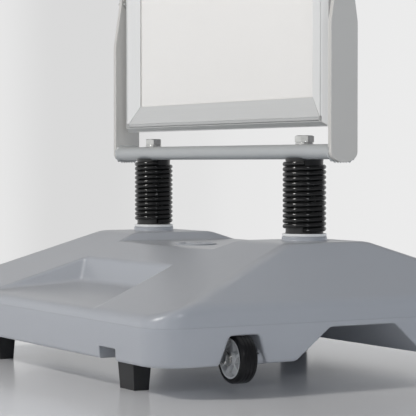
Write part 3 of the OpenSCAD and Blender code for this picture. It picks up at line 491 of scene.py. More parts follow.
clearSheet = {
    "slot": "clear_sheet", "tint": (0.985, 0.99, 0.99, 1), "bending": 1.46,
    "rough": 0.08, "haze": 0.02, "fine": 300.0, "mottle": 6.0, "spread": 0.1,
}
made["clearSheet"], tree, shader, place = startFinish("clearSheet", clearSheet)
shader.inputs["Base Color"].default_value = clearSheet["tint"]
shader.inputs["Transmission Weight"].default_value = 1.0
shader.inputs["IOR"].default_value = clearSheet["bending"]
grain = useGrain(tree, place, clearSheet)
rough = calc(tree, "MULTIPLY_ADD", grain["Height"], clearSheet["haze"], clearSheet["rough"])
wire(tree, shader.inputs["Roughness"], rough)
rays = newNode(tree, "ShaderNodeLightPath").outputs
passing = calc(tree, "MAXIMUM", rays["Is Shadow Ray"], rays["Is Diffuse Ray"])
clear = newNode(tree, "ShaderNodeBsdfTransparent").outputs[0]
newNode(tree, "ShaderNodeOutputMaterial", mixShader(tree, passing, shader.outputs[0], clear))
slotOf = {name: spec["slot"] for name, spec in finishes.items()}
slotOf.update({"aluminiumLevelShaded": satin["slot"], "aluminiumUpright": satin["slot"]})
slotOf["clearSheet"] = clearSheet["slot"]
print("stage: finishes")


# helpers for meshes; outlines and sizes are in millimetres
def roundedOutline(points, radii, steps=5):
    corners = []
    for i, (point, radius) in enumerate(zip(points, radii)):
        b, a, c = Vector(point), Vector(points[i - 1]), Vector(points[(i + 1) % len(points)])
        if radius <= 0:
            corners.append((b.x, b.y))
            continue
        u, v = (a - b).normalized(), (c - b).normalized()
        halfAngle = u.angle(v) / 2
        centre = b + (u + v).normalized() * radius / math.sin(halfAngle)
        p = b + u * radius / math.tan(halfAngle) - centre
        q = b + v * radius / math.tan(halfAngle) - centre
        start = math.atan2(p.y, p.x)
        sweep = (math.atan2(q.y, q.x) - start + math.pi) % (2 * math.pi) - math.pi
        turns = [start + sweep * s / steps for s in range(steps + 1)]
        corners += [(centre.x + radius * math.cos(t), centre.y + radius * math.sin(t)) for t in turns]
    return corners


def meshFrom(name, vertices, faces, outward=True):
    mesh = bpy.data.meshes.new(name)
    mesh.from_pydata((np.asarray(vertices, float) * mm).tolist(), [], faces)
    if outward:
        work = bmesh.new()
        work.from_mesh(mesh)
        bmesh.ops.remove_doubles(work, verts=work.verts, dist=1e-7)
        bmesh.ops.recalc_face_normals(work, faces=work.faces)
        work.to_mesh(mesh)
        work.free()
    return mesh


def shadeByArea(mesh, limit):
    # each corner's normal is the area-weighted mean of the faces that meet it smoothly
    mesh.polygons.foreach_set("use_smooth", [True] * len(mesh.polygons))
    normals = [p.normal.copy() for p in mesh.polygons]
    areas = [p.area for p in mesh.polygons]
    around = [[] for _ in mesh.vertices]
    for p in mesh.polygons:
        for v in p.vertices:
            around[v].append(p.index)
    edge = cosine(limit)
    corners = []
    for p in mesh.polygons:
        own = normals[p.index]
        for v in p.vertices:
            total = Vector((0, 0, 0))
            for other in around[v]:
                if own.dot(normals[other]) > edge:
                    total += normals[other] * areas[other]
            corners.append(total.normalized() if total.length > 0 else own)
    mesh.normals_split_custom_set(corners)


def addPiece(name, mesh, finish, node, limit=38, bend=None):
    # puts a mesh in the place of a CAD node; edges that turn by more than limit degrees stay crisp. A piece
    # given bend is not attached to a body but has its transform baked in; the points in bend are not read.
    mesh.materials.clear()
    mesh.materials.append(made[finish])
    if limit:
        shadeByArea(mesh, limit)
    piece = bpy.data.objects.new(name, mesh)
    scene.collection.objects.link(piece)
    if bend:
        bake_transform(piece)
    else:
        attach(piece, bodyOf[node])
    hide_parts(node)


def bandFaces(low, high, count):
    # the faces between two closed rings of count points, each ring given by its first point's number
    return [[low + s, low + (s + 1) % count, high + (s + 1) % count, high + s] for s in range(count)]


def lathe(profile, segments):
    # turns a closed profile of (radius, height) points round Z
    turns = [2 * math.pi * s / segments for s in range(segments)]
    vertices = []
    for radius, height in profile:
        vertices += [(radius * math.cos(turn), radius * math.sin(turn), height) for turn in turns]
    faces = []
    for ring in range(len(profile)):
        faces += bandFaces(ring * segments, (ring + 1) % len(profile) * segments, segments)
    return vertices, faces


softening = {"merge": 2e-6, "flatWithin": 1.0, "sharpOver": 28, "segments": 2}


def roundedCopy(node, width):
    # a CAD node's mesh, copied and merged, with its sharp edges rounded
    mesh = frame["nodes"][node].data.copy()
    work = bmesh.new()
    work.from_mesh(mesh)
    bmesh.ops.remove_doubles(work, verts=work.verts, dist=softening["merge"])
    flat, crisp = math.radians(softening["flatWithin"]), math.radians(softening["sharpOver"])
    bmesh.ops.dissolve_limit(work, angle_limit=flat, verts=work.verts, edges=work.edges)
    sharp = [e for e in work.edges if len(e.link_faces) == 2 and e.calc_face_angle(0) > crisp]
    bmesh.ops.bevel(
        work, geom=sharp, offset=width * mm, segments=softening["segments"], profile=0.5, affect="EDGES",
        clamp_overlap=True)
    return mesh, work


def putBack(mesh, work):
    # faces with many corners are cut up on the way back
    bmesh.ops.triangulate(work, faces=[f for f in work.faces if len(f.verts) > 4])
    work.to_mesh(mesh)
    work.free()
    return mesh


def softened(name, width, finish):
    addPiece(name + "Soft", putBack(*roundedCopy(name, width)), finish, name)


# implicit forms: a field that is negative inside, meshed on a grid and pulled onto its surface
def smoothMax(a, b, k):
    near = np.maximum(k - np.abs(a - b), 0.0)
    return np.maximum(a, b) + near * near / (4 * k)


def smoothMin(a, b, k):
    return -smoothMax(-a, -b, k)


def blendWidth(radius, angle):
    # how wide a blend is that rounds two surfaces to this radius, where they turn by this angle
    return 2 * radius * sine(angle / 2) ** 2


def gridLine(low, high, step, fineSpans):
    points = [low]
    while points[-1] < high:
        fineStep = [f for a, b, f in fineSpans if a <= points[-1] < b]
        points.append(points[-1] + min(fineStep + [step]))
    return np.array(points)


def surfaceNet(field, xs, ys, zs):
    grid = np.meshgrid(xs, ys, zs, indexing="ij")
    values = field(*grid)
    size = [len(a) - 1 for a in (xs, ys, zs)]
    total = np.zeros(size + [3])
    count = np.zeros(size)
    crossings = []
    for axis in range(3):
        low = [slice(None)] * 3
        high = [slice(None)] * 3
        low[axis], high[axis] = slice(0, -1), slice(1, None)
        f0, f1 = values[tuple(low)], values[tuple(high)]
        crossed = (f0 < 0) != (f1 < 0)
        share = np.where(crossed, f0 / np.where(crossed, f0 - f1, 1), 0)
        points = np.stack([g[tuple(low)] + share * (g[tuple(high)] - g[tuple(low)]) for g in grid], -1)
        points[~crossed] = 0
        others = [a for a in range(3) if a != axis]
        for i in (0, 1):
            for j in (0, 1):
                part = [slice(None)] * 3
                part[others[0]] = slice(i, i + size[others[0]])
                part[others[1]] = slice(j, j + size[others[1]])
                total += points[tuple(part)]
                count += crossed[tuple(part)]
        crossings.append((crossed, f0 < 0))
    active = count > 0
    index = np.full(size, -1)
    index[active] = np.arange(active.sum())
    vertices = total[active] / count[active][:, None]
    quads = []
    for axis, (crossed, outwards) in enumerate(crossings):
        first, second = (axis + 1) % 3, (axis + 2) % 3
        inner = [slice(None)] * 3
        inner[first], inner[second] = slice(1, -1), slice(1, -1)
        where = np.argwhere(crossed[tuple(inner)])
        grow = outwards[tuple(inner)][tuple(where.T)]
        corner = where.copy()
        corner[:, first] += 1
        corner[:, second] += 1
        cells = []
        for a, b in ((-1, -1), (0, -1), (0, 0), (-1, 0)):
            at = corner.copy()
            at[:, first] += a
            at[:, second] += b
            cells.append(index[tuple(at.T)])
        quad = np.stack(cells, -1)
        quad[~grow] = quad[~grow][:, ::-1]
        quads.append(quad)
    return vertices, np.concatenate(quads)


def slopeOf(field, points, step=0.02):
    slope = np.empty_like(points)
    for axis in range(3):
        ahead, behind = points.copy(), points.copy()
        ahead[:, axis] += step
        behind[:, axis] -= step
        slope[:, axis] = (field(*ahead.T) - field(*behind.T)) / (2 * step)
    return slope


def pullOn(field, points, rounds=3, most=1.0):
    for _ in range(rounds):
        slope = slopeOf(field, points)
        move = -(field(*points.T) / np.maximum((slope ** 2).sum(1), 0.05))[:, None] * slope
        length = np.linalg.norm(move, axis=1, keepdims=True)
        points = points + move * np.minimum(1, most / np.maximum(length, 1e-9))
    return points


def formFrom(name, field, lines, triangles):
    vertices, quads = surfaceNet(field, *lines)
    vertices = pullOn(field, vertices)
    mesh = meshFrom(name, vertices, quads.tolist(), outward=False)
    host = bpy.data.objects.new(name + "Host", mesh)
    scene.collection.objects.link(host)
    thin = host.modifiers.new("thin", "DECIMATE")
    thin.ratio = min(1, triangles / (2 * len(quads)))
    bpy.context.view_layer.update()
    result = bpy.data.meshes.new_from_object(host.evaluated_get(bpy.context.evaluated_depsgraph_get()))
    bpy.data.objects.remove(host)
    result.name = name
    points = np.empty(len(result.vertices) * 3)
    result.vertices.foreach_get("co", points)
    points = pullOn(field, points.reshape(-1, 3) / mm, rounds=2, most=0.3)
    result.vertices.foreach_set("co", (points * mm).ravel())
    result.update()
    slope = slopeOf(field, points, step=0.15)
    slope /= np.maximum(np.linalg.norm(slope, axis=1, keepdims=True), 1e-9)
    result.polygons.foreach_set("use_smooth", [True] * len(result.polygons))
    result.normals_split_custom_set_from_vertices(slope.tolist())
    print(f"{name}: {len(result.polygons)} faces")
    return result


# the ballast tank's skin, with every crest, hip and rim rounded as a blow moulding's are
tank = {
    "length": 578, "width": 494, "top": 150.7, "skirt": 32, "seam": 72, "cornerRadius": 38,
    "upperDraft": 4, "lowerDraft": 6.5,
    "flatLength": 443, "flatWidth": 108, "endSlope": 41.6, "sideSlope": 19.6,
    "shoulderRun": 24,   # over which the end's shoulder passes into the side's
    "saddleZ": 140.8, "saddleHalf": 113, "saddleRun": 10, "saddleDrop": 9,
    "recessY": 139, "recessZ": 95, "recessFall": 11, "recessHalf": 98.4,
    "recessFlare": (51.6, 113), "recessDraft": 18,
    "tunnelZ": 66, "tunnelTop": 41, "tunnelFoot": 81,
    "wheelX": 273, "wheelY": 145, "wheelZ": 38, "pocketTop": 16, "pocketFoot": 27.5, "pocketZ": 65.6,
    "pocketIn": 243.5, "pocketLip": 3.4, "lipFrom": 283.5, "lipRun": 1.5,
    "footX": 173.4, "socketHalf": 18.05, "socketIn": 199.95, "socketZ": 44.6,
    "springX": 175, "bossRadius": 25, "bossZ": 155.5, "bossSunk": 4,
    "wellRadius": 20, "wellZ": 145.5, "boltHole": 6.5,
    "fillerY": -38, "sinkRadius": 25.3, "sinkZ": 136.2, "neckRadius": 17, "neckZ": 116.8,
    "stubRadius": 7.5, "stubFrom": 109.5, "stubTo": 133.7,
    "insertRadius": 5.52, "insertFrom": 115.7, "insertPast": 4,
    "triangles": 150000,
}
tankRounds = {   # radius of each rounding, and the degrees that the surface turns by there
    "hip": (20, 45), "crest": (14, 35), "sideShoulder": (16, 66.4), "endShoulder": (16, 44.4),
    "lip": (3, 90), "saddleFoot": (6, 42), "saddleRim": (5, 42), "bossFoot": (2.2, 90),
    "recessSide": (9, 65), "recessFoot": (8, 72), "recessRim": (4.5, 75),
    "tunnelTop": (5, 50), "tunnelRim": (4, 60),
    "pocketTop": (6, 71), "pocketBack": (3, 90), "pocketRim": (3.5, 80),
}
tankArrises = {   # how wide the plain blends are where something is cut or set in last
    "socket": 0.6, "boss": 1.1, "well": 1.0, "boltHole": 0.5,
    "sink": 0.9, "neck": 0.5, "stub": 1.5, "insert": 0.4,
}
tankGrid = {   # along each axis: from, to, the plain step, and the stretches with a finer one
    "x": (-293.0, 293.0, 3.1, [(-202, -148, 1.9), (-28, 28, 1.5), (148, 202, 1.9), (238, 292, 2.2)]),
    "y": (-251.0, 251.0, 3.1, [(-66, -10, 1.5), (-10, 28, 1.9)]),
    "z": (27.0, 160.0, 2.6, [(130, 158, 1.3)]),
}


def splayedWall(out, z, ceiling, top, foot):
    # the slanting side of an opening under the tank, from its ceiling down to the skirt's foot
    rise, splay = ceiling - tank["skirt"], foot - top
    return ((out - top) * rise + (z - ceiling) * splay) / math.hypot(rise, splay)


def tankField(x, y, z):
    t = tank
    blends = {name: blendWidth(*turn) for name, turn in tankRounds.items()}
    blends.update(tankArrises)
    ax, ay = np.abs(x), np.abs(y)
    inset = np.maximum((z - t["seam"]) * tangent(t["upperDraft"]), (t["seam"] - z) * tangent(t["lowerDraft"]))
    qx = ax - (t["length"] / 2 - inset) + t["cornerRadius"]
    qy = ay - (t["width"] / 2 - inset) + t["cornerRadius"]
    outside, inside = np.hypot(np.maximum(qx, 0), np.maximum(qy, 0)), np.minimum(np.maximum(qx, qy), 0)
    skirt = outside + inside - t["cornerRadius"]
    high = z - t["top"]
    end = (ax - t["flatLength"] / 2) * sine(t["endSlope"]) + high * cosine(t["endSlope"])
    side = (ay - t["flatWidth"] / 2) * sine(t["sideSlope"]) + high * cosine(t["sideSlope"])
    roof = smoothMax(end, side, blends["hip"])
    roof = smoothMax(roof, high, blends["crest"])
    towardsEnd = np.clip((end - side) / t["shoulderRun"] + 0.5, 0, 1)
    shoulder = blends["sideShoulder"] * (1 - towardsEnd) + blends["endShoulder"] * towardsEnd
    body = smoothMax(roof, skirt, shoulder)
    body = smoothMax(body, t["skirt"] - z, blends["lip"])

    lean = math.hypot(t["saddleDrop"], t["saddleRun"])
    wall = ((ax - t["saddleHalf"]) * t["saddleDrop"] - (z - t["saddleZ"]) * t["saddleRun"]) / lean
    saddle = smoothMax(t["saddleZ"] - z, wall, blends["saddleFoot"])
    body = smoothMax(body, -saddle, blends["saddleRim"])

    fall = math.atan(t["recessFall"] / (t["width"] / 2 - t["recessY"]))
    floorLevel = (z - t["recessZ"]) * math.cos(fall) + (ay - t["recessY"]) * math.sin(fall)
    rise = (z - t["recessZ"]) * sine(t["recessDraft"])
    back = (t["recessY"] - ay) * cosine(t["recessDraft"]) - rise
    flare = math.atan(t["recessFlare"][0] / t["recessFlare"][1])
    across = (ax - t["recessHalf"]) * math.cos(flare) - (ay - t["recessY"]) * math.sin(flare)
    recess = smoothMax(back, across * cosine(t["recessDraft"]) - rise, blends["recessSide"])
    recess = smoothMax(recess, -floorLevel, blends["recessFoot"])
    body = smoothMax(body, -recess, blends["recessRim"])

    wall = splayedWall(ay, z, t["tunnelZ"], t["tunnelTop"], t["tunnelFoot"])
    tunnel = smoothMax(z - t["tunnelZ"], wall, blends["tunnelTop"])
    body = smoothMax(body, -tunnel, blends["tunnelRim"])

    wall = splayedWall(np.abs(ay - t["wheelY"]), z, t["pocketZ"], t["pocketTop"], t["pocketFoot"])
    lip = np.clip((x - t["lipFrom"]) / t["lipRun"], 0, 1) * t["pocketLip"]
    pocket = smoothMax(z + lip - t["pocketZ"], wall, blends["pocketTop"])
    pocket = smoothMax(pocket, t["pocketIn"] - x, blends["pocketBack"])
    body = smoothMax(body, -pocket, blends["pocketRim"])

    socket = np.maximum(np.abs(ax - t["footX"]) - t["socketHalf"], t["socketIn"] - ay)
    socket = np.maximum(socket, z - t["socketZ"])
    body = smoothMax(body, -socket, blends["socket"])

    aroundSpring = np.hypot(ax - t["springX"], y)
    boss = smoothMax(aroundSpring - t["bossRadius"], z - t["bossZ"], blends["boss"])
    boss = np.maximum(boss, t["saddleZ"] - t["bossSunk"] - z)
    body = smoothMin(body, boss, blends["bossFoot"])
    body = smoothMax(body, -np.maximum(aroundSpring - t["wellRadius"], z - t["wellZ"]), blends["well"])
    body = smoothMax(body, t["boltHole"] - aroundSpring, blends["boltHole"])

    aroundCap = np.hypot(x, y - t["fillerY"])
    body = smoothMax(body, -np.maximum(aroundCap - t["sinkRadius"], t["sinkZ"] - z), blends["sink"])
    body = smoothMax(body, -np.maximum(aroundCap - t["neckRadius"], t["neckZ"] - z), blends["neck"])

    aroundAxle = np.hypot(x - t["wheelX"], z - t["wheelZ"])
    stub = np.maximum(np.maximum(aroundAxle - t["stubRadius"], t["stubFrom"] - ay), ay - t["stubTo"])
    body = smoothMin(body, stub, blends["stub"])
    hole = np.maximum(aroundAxle - t["insertRadius"], t["insertFrom"] - ay)
    return smoothMax(body, -np.maximum(hole, ay - t["stubTo"] - t["insertPast"]), blends["insert"])


tankLines = [gridLine(*line) for line in tankGrid.values()]
tankShell = formFrom("tankShell", tankField, tankLines, tank["triangles"])
addPiece("tankShell", tankShell, "tankPlastic", "tank", limit=None)
print("stage: tank")

# the screw cap of the filler, with a dished top and a grip bar across it
cap = {
    "y": -38, "radius": 24.5, "top": 142.4, "thick": 4.6, "edge": 1.4,
    "dishRadius": 20.5, "dishDepth": 2.0, "dishFoot": 0.8, "dishRim": 0.9, "barWidth": 5.0,
    "skirtRadius": 16.92, "skirtFoot": 124.2, "skirtSunk": 1,
    "boreRadius": 14.42, "boreTop": 135.2, "boreRim": 0.4, "triangles": 30000,
}
capGrid = {"x": (-26.0, 26.0, 0.62, []), "y": (-64.0, -12.0, 0.62, []), "z": (122.9, 144.0, 0.55, [])}


def capField(x, y, z):
    around = np.hypot(x, y - cap["y"])
    disc = smoothMax(around - cap["radius"], z - cap["top"], blendWidth(cap["edge"], 90))
    disc = np.maximum(disc, cap["top"] - cap["thick"] - z)
    skirt = np.maximum(around - cap["skirtRadius"], cap["skirtFoot"] - z)
    skirt = np.maximum(skirt, z - cap["top"] + cap["skirtSunk"])
    body = np.minimum(disc, skirt)
    dish = smoothMax(around - cap["dishRadius"], cap["top"] - cap["dishDepth"] - z, cap["dishFoot"])
    dish = smoothMax(dish, cap["barWidth"] / 2 - np.abs(y - cap["y"]), cap["dishFoot"])
    body = smoothMax(body, -dish, cap["dishRim"])
    return smoothMax(body, -np.maximum(around - cap["boreRadius"], z - cap["boreTop"]), cap["boreRim"])


capLines = [gridLine(*line) for line in capGrid.values()]
fillerCap = formFrom("fillerCap", capField, capLines, cap["triangles"])
addPiece("fillerCap", fillerCap, "tankPlastic", "filler_cap", limit=None)


def turned(name, profile, radii, finish, node, places, segments=72):
    # one lathe form repeated at places, each a matrix in millimetres
    vertices, faces = lathe(roundedOutline(profile, radii), segments)
    allVertices, allFaces = [], []
    for matrix in places:
        start = len(allVertices)
        allVertices += [tuple(matrix @ Vector(v)) for v in vertices]
        allFaces += [[v + start for v in face] for face in faces]
    addPiece(name, meshFrom(name, allVertices, allFaces), finish, node)


def ringProfile(ring):
    inner, outer, low, high = (ring[key] for key in ("inner", "outer", "low", "high"))
    return [(inner, low), (outer, low), (outer, high), (inner, high)], ring["edges"]


def at(x, y, z):
    return Matrix.Translation((x, y, z))


sealRing = {"inner": 17.22, "outer": 24, "low": 136.25, "high": 137.75, "edges": [0.3, 0.5, 0.5, 0.3]}
springPad = {"inner": 6.5, "outer": 24.5, "low": 155.5, "high": 158.8, "edges": [0.2, 1.1, 0.6, 0.2]}
springs = {
    "x": 175, "radius": 21.45, "wire": 2.72, "pitch": 5.68, "turns": 12.93, "foot": 162.8,
    "tail": 13.8, "starts": {"left": -2, "right": -22},   # degrees
    "bends": (172, 228),   # heights between which a spring passes from the base to the sign
    "steps": 44, "sides": 16,
}
sides = {"left": -1, "right": 1}
springAxes = [at(sign * springs["x"], 0, 0) for sign in sides.values()]
turned("fillerSealRing", *ringProfile(sealRing), "footRubber", "filler_seal", [at(0, cap["y"], 0)])
turned("springPads", *ringProfile(springPad), "whiteNylon", "spring_pads", springAxes, segments=96)


# the springs are wound by a tree: a spiral curve with a round section
def startTree(name, inputs):
    tree = bpy.data.node_groups.new(name, "GeometryNodeTree")
    for label, kind in inputs:
        tree.interface.new_socket(label, in_out="INPUT", socket_type=kind)
    tree.interface.new_socket("Geometry", in_out="OUTPUT", socket_type="NodeSocketGeometry")
    return tree, tree.nodes.new("NodeGroupInput").outputs, tree.nodes.new("NodeGroupOutput").inputs


def treeNode(tree, kind, sources, **settings):
    madeNode = tree.nodes.new(kind)
    for key, value in settings.items():
        setattr(madeNode, key, value)
    for label, source in sources.items():
        wire(tree, madeNode.inputs[label], source)
    return madeNode.outputs


def endTree(tree, geometry, finish, result):
    real = treeNode(tree, "GeometryNodeRealizeInstances", {"Geometry": geometry})
    painted = treeNode(tree, "GeometryNodeSetMaterial", {"Geometry": real[0], "Material": finish})
    wire(tree, result["Geometry"], painted[0])


def growMesh(name, tree, values, start=None):
    host = bpy.data.objects.new(name + "Host", start or bpy.data.meshes.new(name + "Start"))
    scene.collection.objects.link(host)
    grower = host.modifiers.new("grow", "NODES")
    grower.node_group = tree
    for item in tree.interface.items_tree:
        if item.item_type == "SOCKET" and item.in_out == "INPUT" and item.name in values:
            grower[item.identifier] = values[item.name]
    bpy.context.view_layer.update()
    mesh = bpy.data.meshes.new_from_object(host.evaluated_get(bpy.context.evaluated_depsgraph_get()))
    host.modifiers.clear()
    bpy.data.objects.remove(host)
    mesh.name = name
    return mesh


coilTree, given, result = startTree("coilSpring", [
    ("Coil Radius", floatSocket), ("Wire Radius", floatSocket), ("Pitch", floatSocket),
    ("Turns", floatSocket), ("Start Angle", floatSocket), ("Foot", vectorSocket),
    ("Steps per Turn", "NodeSocketInt"), ("Sides", "NodeSocketInt"), ("Finish", "NodeSocketMaterial"),
])
rise = treeNode(coilTree, "ShaderNodeMath", {0: given["Pitch"], 1: given["Turns"]}, operation="MULTIPLY")
spiral = treeNode(coilTree, "GeometryNodeCurveSpiral", {
    "Resolution": given["Steps per Turn"], "Rotations": given["Turns"], "Start Radius": given["Coil Radius"],
    "End Radius": given["Coil Radius"], "Height": rise[0], "Reverse": True,
})
turnedBy = treeNode(coilTree, "ShaderNodeCombineXYZ", {"Z": given["Start Angle"]})
placed = treeNode(coilTree, "GeometryNodeTransform", {
    "Geometry": spiral[0], "Translation": given["Foot"], "Rotation": turnedBy[0],
})
section = treeNode(coilTree, "GeometryNodeCurvePrimitiveCircle", {
    "Resolution": given["Sides"], "Radius": given["Wire Radius"],
})
wound = treeNode(coilTree, "GeometryNodeCurveToMesh", {
    "Curve": placed[0], "Profile Curve": section[0], "Fill Caps": True,
})
endTree(coilTree, wound[0], given["Finish"], result)

for side, sign in sides.items():
    extra = springs["tail"] / 360
    mesh = growMesh("spring_" + side, coilTree, {
        "Coil Radius": springs["radius"] * mm, "Wire Radius": springs["wire"] * mm,
        "Pitch": springs["pitch"] * mm, "Turns": springs["turns"] + 2 * extra,
        "Start Angle": math.radians(springs["starts"][side] - springs["tail"]),
        "Foot": (sign * springs["x"] * mm, 0, (springs["foot"] - springs["pitch"] * extra) * mm),
        "Steps per Turn": springs["steps"], "Sides": springs["sides"], "Finish": made["blackedSpring"],
    })
    bend = [(sign * springs["x"] * mm, 0, z * mm) for z in springs["bends"]]
    addPiece("spring" + side.capitalize(), mesh, "blackedSpring", "spring_" + side, limit=50, bend=bend)
print("stage: springs")

for name in ("lower_plugs", "upper_plugs"):
    softened(name, width=0.3, finish="blackNylon")

# wheels: an on-axle frame whose Z runs outwards
wheel = {
    "x": 273, "y": 145, "z": 38, "radius": 26, "half": 10, "edge": 4, "sideRound": 0.3,
    "groove": 0.5, "grooveWidth": 1.3, "slant": 0.2, "grooveRounds": [0.25, 0.2, 0.2, 0.25],
    "hubRadius": 20.8, "fitGap": 0.02, "rimSunk": 0.5, "rim": 2.2, "web": 1.5,
    "bossRadius": 7.2, "neckRadius": 5.8, "bossHalf": 11, "bore": 4.08,
    "hubRounds": [0.3, 0.5, 0.6, 0.6, 1.0, 1.0, 0.6, 0.5],
    "ribs": 5, "ribThick": 3, "ribHalf": 6.4, "ribTurn": 90, "ribInto": 0.5,
}


def onAxle(sign):
    return at(wheel["x"], sign * wheel["y"], wheel["z"]) @ Matrix.Rotation(math.radians(-90 * sign), 4, "X")


def tyreProfile():
    w = wheel
    inside, ground, sunk = w["hubRadius"] + w["fitGap"], w["radius"], w["radius"] - w["groove"]
    points, radii = [(inside, -w["half"]), (ground, -w["half"])], [w["sideRound"], w["edge"]]
    for centre in (-3 * w["grooveWidth"], 0, 3 * w["grooveWidth"]):
        low, high = centre - w["grooveWidth"] / 2, centre + w["grooveWidth"] / 2
        points += [(ground, low), (sunk, low + w["slant"]), (sunk, high - w["slant"]), (ground, high)]
        radii += w["grooveRounds"]
    return points + [(ground, w["half"]), (inside, w["half"])], radii + [w["edge"], w["sideRound"]]


def hubProfile():
    # one half from the bore out to the rim, then the other half back
    w = wheel
    rimInside, rimFace = w["hubRadius"] - w["rim"], w["half"] - w["rimSunk"]
    half = [
        (w["bore"], -w["bossHalf"]), (w["neckRadius"], -w["bossHalf"]), (w["neckRadius"], -w["ribHalf"]),
        (w["bossRadius"], -w["ribHalf"]), (w["bossRadius"], -w["web"]), (rimInside, -w["web"]),
        (rimInside, -rimFace), (w["hubRadius"], -rimFace),
    ]
    return half + [(r, -h) for r, h in reversed(half)], w["hubRounds"] + w["hubRounds"][::-1]


ribTree, given, result = startTree("hubRibs", [
    ("Geometry", "NodeSocketGeometry"), ("Ribs", "NodeSocketInt"), ("Size", vectorSocket),
    ("Middle", vectorSocket), ("First Angle", floatSocket), ("Finish", "NodeSocketMaterial"),
])
slab = treeNode(ribTree, "GeometryNodeMeshCube", {"Size": given["Size"]})
slab = treeNode(ribTree, "GeometryNodeTransform", {"Geometry": slab[0], "Translation": given["Middle"]})
spots = treeNode(ribTree, "GeometryNodePoints", {"Count": given["Ribs"]})
order = treeNode(ribTree, "GeometryNodeInputIndex", {})
between = treeNode(ribTree, "ShaderNodeMath", {0: math.tau, 1: given["Ribs"]}, operation="DIVIDE")
turn = treeNode(ribTree, "ShaderNodeMath", {
    0: order[0], 1: between[0], 2: given["First Angle"],
}, operation="MULTIPLY_ADD")
turnedBy = treeNode(ribTree, "ShaderNodeCombineXYZ", {"Z": turn[0]})
ribs = treeNode(ribTree, "GeometryNodeInstanceOnPoints", {
    "Points": spots[0], "Instance": slab[0], "Rotation": turnedBy[0],
})
joined = ribTree.nodes.new("GeometryNodeJoinGeometry")
ribTree.links.new(ribs[0], joined.inputs[0])
ribTree.links.new(given["Geometry"], joined.inputs[0])
endTree(ribTree, joined.outputs[0], given["Finish"], result)

# each rib ends inside the boss and inside the rim
ribReach = wheel["hubRadius"] - wheel["rim"] - wheel["bossRadius"] + 2 * wheel["ribInto"]
ribMiddle = (wheel["hubRadius"] - wheel["rim"] + wheel["bossRadius"]) / 2
for side, sign in {"front": -1, "back": 1}.items():
    tyre = "tyre" + side.capitalize()
    turned(tyre, *tyreProfile(), "tyreRubber", "tyre_" + side, [onAxle(sign)], segments=96)
    vertices, faces = lathe(roundedOutline(*hubProfile(), steps=3), segments=72)
    mesh = growMesh("hub_" + side, ribTree, {
        "Ribs": wheel["ribs"], "First Angle": math.radians(wheel["ribTurn"]), "Finish": made["hubNylon"],
        "Size": (ribReach * mm, wheel["ribThick"] * mm, 2 * wheel["ribHalf"] * mm),
        "Middle": (ribMiddle * mm, 0, 0),
    }, meshFrom("hubStart", vertices, faces))
    place = onAxle(sign)
    place.translation *= mm
    mesh.transform(place)
    addPiece("hub" + side.capitalize(), mesh, "hubNylon", "hub_" + side)
print("stage: wheels")


# bolts and nuts: one pattern of each, set out by a tree
threads = {
    "m12": {"radius": 6, "pitch": 1.75, "nutBore": 6.08},
    "m8": {"radius": 4, "pitch": 1.25, "nutBore": 4.08},
}
shankForm = {"tip": 0.75, "tipTop": 0.9, "tipRun": 0.15, "root": 0.88}   # shares of the shank's radius
threadForm = {"crestFrom": 0.35, "crestTo": 0.5}   # shares of the pitch
headForm = {
    "chamferFrom": 0.94,   # share of half the width across the flats
    "chamferSlope": 0.577, "underChamfer": 0.2,
}


def hexagonRing(across, angle):
    return across / 2 / math.cos((angle + math.pi / 6) % (math.pi / 3) - math.pi / 6)


def fastener(across, height, thread, length=0, plain=0, steps=48):
    # a hexagon with chamfered corners: a bolt with a shank below its head where it has a length, or a nut
    radius, pitch = thread["radius"], thread["pitch"]
    bore = 0 if length else thread["nutBore"]
    circle = across / 2 * headForm["chamferFrom"]
    angles = [2 * math.pi * (s + 0.5) / steps for s in range(steps)]
    rings = []

    def ring(radii, heights):
        rings.append([(r * math.cos(a), r * math.sin(a), h) for r, h, a in zip(radii, heights, angles)])

    def circleRing(wide, level):
        ring([wide] * steps, [level] * steps)

    outline = [hexagonRing(across, a) for a in angles]
    drop = [max(0, (r - circle) * headForm["chamferSlope"]) for r in outline]
    if bore:
        circleRing(bore, 0)
    else:
        level = -length + radius * shankForm["tipRun"]
        crestFrom, crestTo = pitch * threadForm["crestFrom"], pitch * threadForm["crestTo"]
        circleRing(radius * shankForm["tip"], -length)
        circleRing(radius * shankForm["tipTop"], level)
        while level < -plain - pitch:
            circleRing(radius, level + crestFrom)
            circleRing(radius, level + crestTo)
            circleRing(radius * shankForm["root"], level + pitch)
            level += pitch
        circleRing(radius, level + crestTo)
        circleRing(radius, 0)
    circleRing(circle, 0)
    ring(outline, drop if bore else [headForm["underChamfer"]] * steps)
    ring(outline, [height - d for d in drop])
    circleRing(circle, height)
    if bore:
        circleRing(bore, height)
    vertices = [v for r in rings for v in r]
    faces = []
    count = len(rings)
    for i in range(count if bore else count - 1):
        faces += bandFaces(i * steps, (i + 1) % count * steps, steps)
    if not bore:
        faces += [list(range(steps))[::-1], list(range((count - 1) * steps, count * steps))]
    return vertices, faces


setOut, given, result = startTree("setOutFasteners", [
    ("Geometry", "NodeSocketGeometry"), ("Pattern", "NodeSocketObject"), ("Finish", "NodeSocketMaterial"),
])
pattern = treeNode(setOut, "GeometryNodeObjectInfo", {"Object": given["Pattern"]})
aim = treeNode(setOut, "GeometryNodeInputNamedAttribute", {"Name": "aim"}, data_type="FLOAT_VECTOR")
turnedBy = treeNode(setOut, "FunctionNodeEulerToRotation", {"Euler": aim[0]})
placed = treeNode(setOut, "GeometryNodeInstanceOnPoints", {
    "Points": given["Geometry"], "Instance": pattern["Geometry"], "Rotation": turnedBy[0],
})
endTree(setOut, placed[0], given["Finish"], result)


